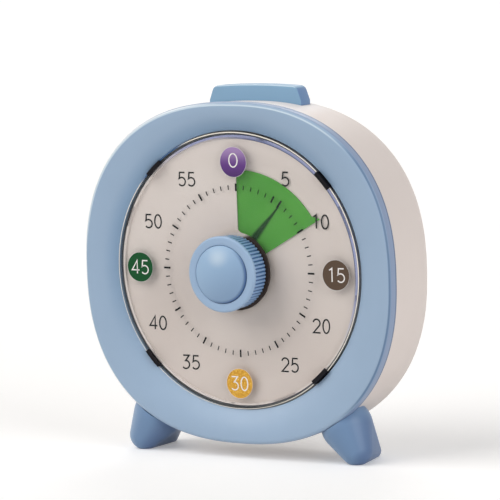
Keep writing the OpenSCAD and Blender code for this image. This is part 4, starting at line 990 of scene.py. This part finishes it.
def cap_profile():
    """Side, rounded edge and dome."""
    edge = -KNOB_FRONT + CAP_EDGE_BACK
    profile = [(CAP_R, -KNOB_FRONT + CAP_SEAT), (CAP_R, edge)]
    for i in range(1, 7):
        a = math.pi / 2 * i / 6
        profile.append((CAP_R - 0.6 * (1 - math.cos(a)), edge - 0.8 * math.sin(a)))
    r0, d0 = profile[-1]
    rise = d0 + KNOB_FRONT + CAP_RISE
    for i in range(1, 25):
        r = r0 * (1 - i / 24)
        profile.append((max(r, 0.02), d0 - rise * (1 - (r / r0) ** 2)))
    return profile


cap = lathe("cap_dome", cap_profile(), 160)
finish_piece(cap, cap_material(), "dial_knob", ["knob_cap"])

# ---------- dial and disc ----------

def ramp_share(r):
    return min(1.0, max(0.0, (RAMP_END_R - r) / (RAMP_END_R - RAMP_FULL_R)))


def dial_depth(r, turn):
    """Depth of the dial's face, a shallow helix inside the ramp."""
    return DIAL_TOP + PITCH * (1 - turn / 360) * ramp_share(r)


def dial():
    """Dial plate with its slit at the top."""
    steps = 360
    rows, columns = len(DIAL_RADII), steps + 1
    points, faces = [], []
    for behind in (0, DIAL_T):
        for r in DIAL_RADII:
            gap = SLIT_SPAN / 2 * ramp_share(r)
            for k in range(columns):
                turn = gap + (360 - 2 * gap) * k / steps
                points.append(polar(r, math.radians(turn), dial_depth(r, turn) + behind))

    def add_face(*corners):
        faces.append([(side * rows + j) * columns + k for side, j, k in corners])

    for k in range(steps):
        for j in range(rows - 1):
            for side in (0, 1):
                add_face((side, j, k), (side, j + 1, k), (side, j + 1, k + 1), (side, j, k + 1))
        for j in (0, rows - 1):
            add_face((0, j, k), (0, j, k + 1), (1, j, k + 1), (1, j, k))
    for k in (0, steps):
        for j in range(sum(r < RAMP_END_R for r in DIAL_RADII)):
            add_face((0, j, k), (0, j + 1, k), (1, j + 1, k), (1, j, k))
    return mesh_object("dial_face", points, faces)


finish_piece(dial(), dial_mat, "case", ["dial_plate"])


def disc():
    """Helical film with a tab at its leading edge."""
    steps = 260
    turns = [DISC_FROM + (SHOWN_ANGLE - TAB_SPAN - DISC_FROM) * k / steps for k in range(steps + 1)]
    turns += [SHOWN_ANGLE - TAB_SPAN * (1 - i / 8) for i in range(1, 9)]
    rings = []
    for turn in turns:
        back = (SHOWN_ANGLE - turn) / TAB_SPAN
        rim = DISC_R + (TAB_REACH * (1 - back) if back < 1 else 0)
        depth = DISC_BACK - PITCH * turn / 360
        rings.append([polar(r, math.radians(turn), d)
                      for r, d in section(DISC_HOLE_R, rim, depth - DISC_T, depth)])
    return skin("disc_film", rings)


finish_piece(disc(), disc_material(), "disc", ["time_disc"])

# ---------- prints ----------

DIGIT_H = 5.7
DIGIT_PITCH = 4.5
DIGIT_WIDTH = 1.1
ZERO_WIDTH = 1.35
ZERO_RAISE = 0.7
DIGIT_MIDDLE = 0.29
STROKE = 0.64
SPOT_STROKE = 0.52
LAYER_T = 0.03
DIAL_CLEAR = 0.03
FILM_CLEAR = 0.05
SPOT_CLEAR = 0.02
SPOT_PRINT = LENS_FRONT - PRINT_T
SPOT_EDGE_W = 0.1
MARK_BACK = LENS_BACK + PRINT_T
MARK_HALF_L = 1.9
MARK_HALF_W = 0.42
LIP_R = (14.0, 17.4)
LIP_TURNS = (-3.0, 14.0)
LIP_T = 0.04
# Painted highlight along the lens's edge: its radius, widths, widest turn and thickness
LINE_R = LENS_R - 0.15
LINE_W = (0.2, 0.48)
LINE_WIDEST = math.radians(40)
LINE_T = 0.04
NUMBER_PLACES = {
    5: (22.5, 37.7), 10: (38.1, 20.9), 20: (37.3, -21.3), 25: (22.3, -37.8),
    35: (-24.6, -39.0), 40: (-39.9, -23.3), 50: (-40.6, 18.9), 55: (-23.8, 36.7),
}


def arc(cx, cy, rx, ry, start, end, steps=14):
    turns = [math.radians(start + (end - start) * i / steps) for i in range(steps + 1)]
    return [(cx + rx * math.cos(a), cy + ry * math.sin(a)) for a in turns]


# Centre lines of the digits, in a box one high
DIGITS = {
    "0": [arc(0.29, 0.5, 0.25, 0.48, 90, 450, 36)],
    "1": [[(0.18, 0.84), (0.37, 0.98), (0.37, 0.02)]],
    "2": [arc(0.29, 0.70, 0.25, 0.28, 168, -38) + [(0.05, 0.02), (0.56, 0.02)]],
    "3": [[(0.06, 0.98), (0.50, 0.98), (0.24, 0.60)] + arc(0.27, 0.31, 0.27, 0.29, 92, -142)],
    "4": [[(0.42, 0.02), (0.42, 0.98), (0.02, 0.28), (0.58, 0.28)]],
    "5": [[(0.51, 0.98), (0.13, 0.98), (0.09, 0.53)] + arc(0.28, 0.32, 0.27, 0.30, 138, -142)],
}


def ribbon(line, width):
    """Left and right sides of a mitred ribbon along a line."""
    points = [Vector(p) for p in line]
    last = len(points) - 1
    closed = (points[0] - points[-1]).length < 1e-6
    left, right = [], []
    for i, p in enumerate(points):
        before = points[i - 1] if i else (points[last - 1] if closed else None)
        after = points[i + 1] if i < last else (points[1] if closed else None)
        a = (p - before).normalized() if before is not None else (after - p).normalized()
        b = (after - p).normalized() if after is not None else a
        tangent = (a + b).normalized()
        normal = Vector((-tangent.y, tangent.x))
        stretch = 1 / max(0.45, normal.dot(Vector((-a.y, a.x))))
        left.append(p + normal * width / 2 * stretch)
        right.append(p - normal * width / 2 * stretch)
    return left, right


def on_dial(x, up):
    """Just in front of the dial's face."""
    return dial_depth(math.hypot(x, up), math.degrees(math.atan2(x, up)) % 360) - DIAL_CLEAR


def on_film(x, up):
    """Just in front of the green film."""
    return DISC_BACK - DISC_T - PITCH * math.degrees(math.atan2(x, up)) / 360 - FILM_CLEAR


def on_spot(*_):
    """Just in front of the spots' print on the lens."""
    return SPOT_PRINT - SPOT_CLEAR


def numeral(points, faces, text, centre, surface, stroke):
    """Adds a number's ribbons as thin slabs, upright round a centre."""
    width = DIGIT_PITCH * (len(text) - 1)
    wide = DIGIT_H * (ZERO_WIDTH if text == "0" else DIGIT_WIDTH)
    for n, char in enumerate(text):
        ox = centre[0] - width / 2 + DIGIT_PITCH * n - DIGIT_MIDDLE * wide
        oy = centre[1] - DIGIT_H / 2
        for line in DIGITS[char]:
            sides = ribbon([(ox + x * wide, oy + y * DIGIT_H) for x, y in line], stroke)
            rings = []
            for left, right in zip(*sides):
                rings.append([at(p.x, p.y, surface(p.x, p.y) - lift)
                              for p, lift in section(left, right, LAYER_T, 0)])
            add_loft(points, faces, rings)


def numbers():
    points, faces = [], []
    for value, centre in NUMBER_PLACES.items():
        surface = on_film if value <= SHOWN_ANGLE / 6 else on_dial
        numeral(points, faces, str(value), centre, surface, STROKE)
    return mesh_object("dial_numbers", points, faces, 30)


finish_piece(numbers(), ink_black, "case")


def spot_centre(value):
    r = SPOT_RING_R if value else TOP_SPOT_R
    turn = math.radians(6 * value)
    return r * math.sin(turn), r * math.cos(turn)


def spot_numbers():
    points, faces = [], []
    for value in (0, 15, 30, 45):
        x, up = spot_centre(value)
        numeral(points, faces, str(value), (x, up if value else up + ZERO_RAISE), on_spot, SPOT_STROKE)
    return mesh_object("spot_numbers", points, faces, 30)


finish_piece(spot_numbers(), ink_white, "case")


def bold_mark():
    """Heavier print over the sixth minute's mark."""
    turn = math.radians(36)
    rings = []
    for r in (MARK_R - MARK_HALF_L, MARK_R + MARK_HALF_L):
        rings.append([polar(r, turn, d, w * math.cos(turn), -w * math.sin(turn))
                      for w, d in section(-MARK_HALF_W, MARK_HALF_W, MARK_BACK, MARK_BACK + LAYER_T)])
    return skin("bold_mark", rings)


finish_piece(bold_mark(), ink_black, "case")


def spot_edges():
    """Fine white rings round the spots."""
    points, faces = [], []
    for value in (0, 15, 30, 45):
        corners = section(SPOT_R - SPOT_EDGE_W, SPOT_R, SPOT_PRINT - SPOT_CLEAR, SPOT_PRINT)
        rings = [round_ring(r, d, 96, *spot_centre(value)) for r, d in corners]
        add_loft(points, faces, rings, closed=True)
    return mesh_object("spot_edges", points, faces)


finish_piece(spot_edges(), ink_white, "case")


def dial_lip():
    """Dial-coloured print beside the collar, over the disc's first minutes."""
    (inner, outer), (start, end) = LIP_R, LIP_TURNS
    rings = []
    for i in range(25):
        turn = math.radians(start + (end - start) * i / 24)
        edge = outer - (outer - inner - 0.2) * max(0.0, (i - 2) / 22)
        rings.append([polar(r, turn, d) for r, d in section(inner, edge, LENS_BACK, LENS_BACK + LIP_T)])
    return skin("dial_lip", rings)


finish_piece(dial_lip(), dial_mat, "case")


def lens_line():
    """Painted highlight: a bright line at the lens's edge, finer below and to the left."""
    fine, wide = LINE_W
    rings = []
    for side, depth in section(1, 0, LENS_FRONT - LINE_T, LENS_FRONT):
        ring = []
        for turn in ring_turns():
            width = fine + (wide - fine) * (0.5 + 0.5 * math.cos(turn - LINE_WIDEST))
            ring.append(polar(LINE_R - width * side, turn, depth))
        rings.append(ring)
    return skin("lens_edge_painted_highlight", rings, closed=True)


finish_piece(lens_line(), edge_material(), "case")

# ---------- finishes of the solids that stay ----------

FINISH = (
    (shell_mat, "battery_door"),
    (lens_material(), "lens"),
    (ring_material(), "dial_ring"),
    (collar_material(), "knob_collar"),
    (ink_black, "tick_marks"),
    (purple_material(), "spot_0"),
    (ink("brown_ink", rgb(92, 76, 64)), "spot_15"),
    (gold_material(), "spot_30"),
    (ink("green_ink", rgb(28, 80, 46)), "spot_45"),
    (plastic("clip_plastic", rgb(14, 12, 17), 0.5, 0.15), "lens_clips"),
    (plastic("carrier_plastic", rgb(190, 190, 190), 0.5), "dial_carrier"),
    (plastic("movement_plastic", rgb(52, 52, 56), 0.5), "movement_base movement_cover"),
    (plastic("wheel_plastic", rgb(236, 228, 206), 0.4),
     "centre_wheel third_wheel fourth_wheel fifth_wheel"),
    (plastic("hub_plastic", rgb(226, 222, 216), 0.4), "disc_hub alarm_cam"),
    (plastic("bobbin_plastic", rgb(235, 235, 238)), "coil_bobbin"),
    (plastic("chip_plastic", rgb(34, 34, 36), 0.45), "pcb_parts"),
    (plastic("switch_plastic", rgb(48, 48, 52), 0.4), "volume_switch volume_slider buzzer bar_switch"),
    (plastic("plunger_plastic", rgb(200, 52, 42)), "switch_plunger"),
    (plastic("lead_red_pvc", rgb(178, 34, 30)), "battery_lead_plus"),
    (plastic("lead_black_pvc", rgb(30, 30, 32)), "battery_lead_minus"),
    (plastic("lead_blue_pvc", rgb(40, 60, 150)), "buzzer_leads"),
    (plastic("lead_yellow_pvc", rgb(216, 170, 40)), "movement_leads"),
    (metal("turned_steel", rgb(196, 198, 202)), "spindle battery_spring battery_contact bar_springs"),
    (metal("zinc_screw", rgb(204, 204, 200), 0.3, 0.42),
     "foot_screws case_screws carrier_screws pcb_screws movement_screws knob_screw"),
    (metal("spring_clip_steel", rgb(170, 172, 178)), "spindle_clip"),
    (metal("brass_strip", rgb(214, 178, 104)), "clutch_spring alarm_contact movement_nut"),
    (metal("silicon_iron", rgb(140, 142, 148), 0.4, 0.55), "stator"),
    (metal("ferrite_magnet", rgb(92, 92, 98), 0.5, 0.6), "rotor"),
    (metal("drawn_can", rgb(206, 208, 210)), "crystal"),
    (coil_material(), "coil"),
    (board_material(), "main_pcb"),
    (cell_material(), "battery_cell"),
)
for node_finish, node_names in FINISH:
    for node_name in node_names.split():
        node_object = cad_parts[node_name]
        if not node_object.material_slots:
            node_object.data.materials.append(None)
        for node_slot in node_object.material_slots:
            node_slot.material = node_finish

# ---------- camera ----------

CAMERA_AZIMUTH = 30.98
CAMERA_ELEVATION = 7.0
CAMERA_ROLL = math.radians(1.71)
CAMERA_DISTANCE = 1.294
CAMERA_LENS = 229.4
AIM_RIGHT = 4.82 * MM
AIM_UP = 8.38 * MM


def direction(azimuth, elevation):
    """Unit vector by its angle from the front towards the right, and above the floor."""
    a, e = math.radians(azimuth), math.radians(elevation)
    return Vector((math.sin(a) * math.cos(e), -math.cos(a) * math.cos(e), math.sin(e)))


def view_axes(backward):
    """Right and up of a rolled view."""
    level = Vector((0, 0, 1)).cross(backward).normalized()
    top = backward.cross(level)
    right = math.cos(CAMERA_ROLL) * level - math.sin(CAMERA_ROLL) * top
    up = math.sin(CAMERA_ROLL) * level + math.cos(CAMERA_ROLL) * top
    return right, up


def add_camera():
    target = at(0, 0, LENS_BACK)
    out = direction(CAMERA_AZIMUTH, CAMERA_ELEVATION)
    place = target + CAMERA_DISTANCE * out
    right, up = view_axes(out)
    aim = target + AIM_RIGHT * right + AIM_UP * up
    backward = (place - aim).normalized()
    right, up = view_axes(backward)
    data = bpy.data.cameras.new("camera")
    data.lens = CAMERA_LENS
    data.sensor_width = 36.0
    data.clip_start = 0.01
    data.clip_end = 50.0
    camera = placed("camera", data)
    turn = Matrix((right, up, backward)).transposed().to_4x4()
    camera.matrix_world = Matrix.Translation(place) @ turn
    bpy.context.scene.camera = camera


add_camera()

# ---------- floor and light ----------

WORLD_LIGHT = 0.26
FLOOR_GLOW = 0.22
FLOOR_HALF = 6.0


def looked_at(tree):
    """1 for rays that come from the camera, by a reflection or through something clear, else 0."""
    path = tree.nodes.new("ShaderNodeLightPath")
    seen = path.outputs["Is Camera Ray"]
    for ray in ("Is Glossy Ray", "Is Transmission Ray"):
        node = tree.nodes.new("ShaderNodeMath")
        node.operation = "MAXIMUM"
        tree.links.new(seen, node.inputs[0])
        tree.links.new(path.outputs[ray], node.inputs[1])
        seen = node.outputs[0]
    return seen


def add_floor():
    mesh = bpy.data.meshes.new("floor")
    corners = [(x * FLOOR_HALF, y * FLOOR_HALF, 0) for x, y in ((-1, -1), (1, -1), (1, 1), (-1, 1))]
    mesh.from_pydata(corners, [], [(0, 1, 2, 3)])
    floor = placed("floor", mesh)
    n = Nodes("floor_paper")
    n.colour(n.mix(n.noise(6.0), rgb(238, 237, 236), rgb(242, 241, 240)))
    n.set(Roughness=0.9, Specular_IOR_Level=0.1, Emission_Color=(1, 1, 1, 1),
          Emission_Strength=n.mul(looked_at(n.tree), FLOOR_GLOW))
    mesh.materials.append(n.mat)


def add_sun(name, azimuth, elevation, strength, softness, colour=(1, 1, 1)):
    """Distant soft lamp."""
    data = bpy.data.lights.new(name, "SUN")
    data.energy = strength
    data.angle = math.radians(softness)
    data.color = colour
    lamp = placed(name, data)
    lamp.rotation_euler = direction(azimuth, elevation).to_track_quat("Z", "Y").to_euler()


def add_world():
    """Dim light all round that is seen as plain white."""
    world = bpy.data.worlds.new("studio")
    bpy.context.scene.world = world
    world.use_nodes = True
    tree = world.node_tree
    tree.nodes.clear()
    mix = tree.nodes.new("ShaderNodeMixShader")
    tree.links.new(looked_at(tree), mix.inputs[0])
    backgrounds = (((1.0, 0.99, 0.98, 1.0), WORLD_LIGHT), ((1.0, 1.0, 1.0, 1.0), 1.0))
    for socket, (colour, strength) in zip(mix.inputs[1:], backgrounds):
        node = tree.nodes.new("ShaderNodeBackground")
        node.inputs["Color"].default_value = colour
        node.inputs["Strength"].default_value = strength
        tree.links.new(node.outputs[0], socket)
    output = tree.nodes.new("ShaderNodeOutputWorld")
    tree.links.new(mix.outputs[0], output.inputs["Surface"])


add_floor()
add_world()
add_sun("key", -42, 42, 1.85, 55, (1.0, 0.985, 0.96))
add_sun("fill", 72, 22, 1.25, 40, (0.98, 0.985, 1.0))
add_sun("rim", 205, 40, 0.6, 30)

bpy.context.scene.view_settings.view_transform = "Standard"
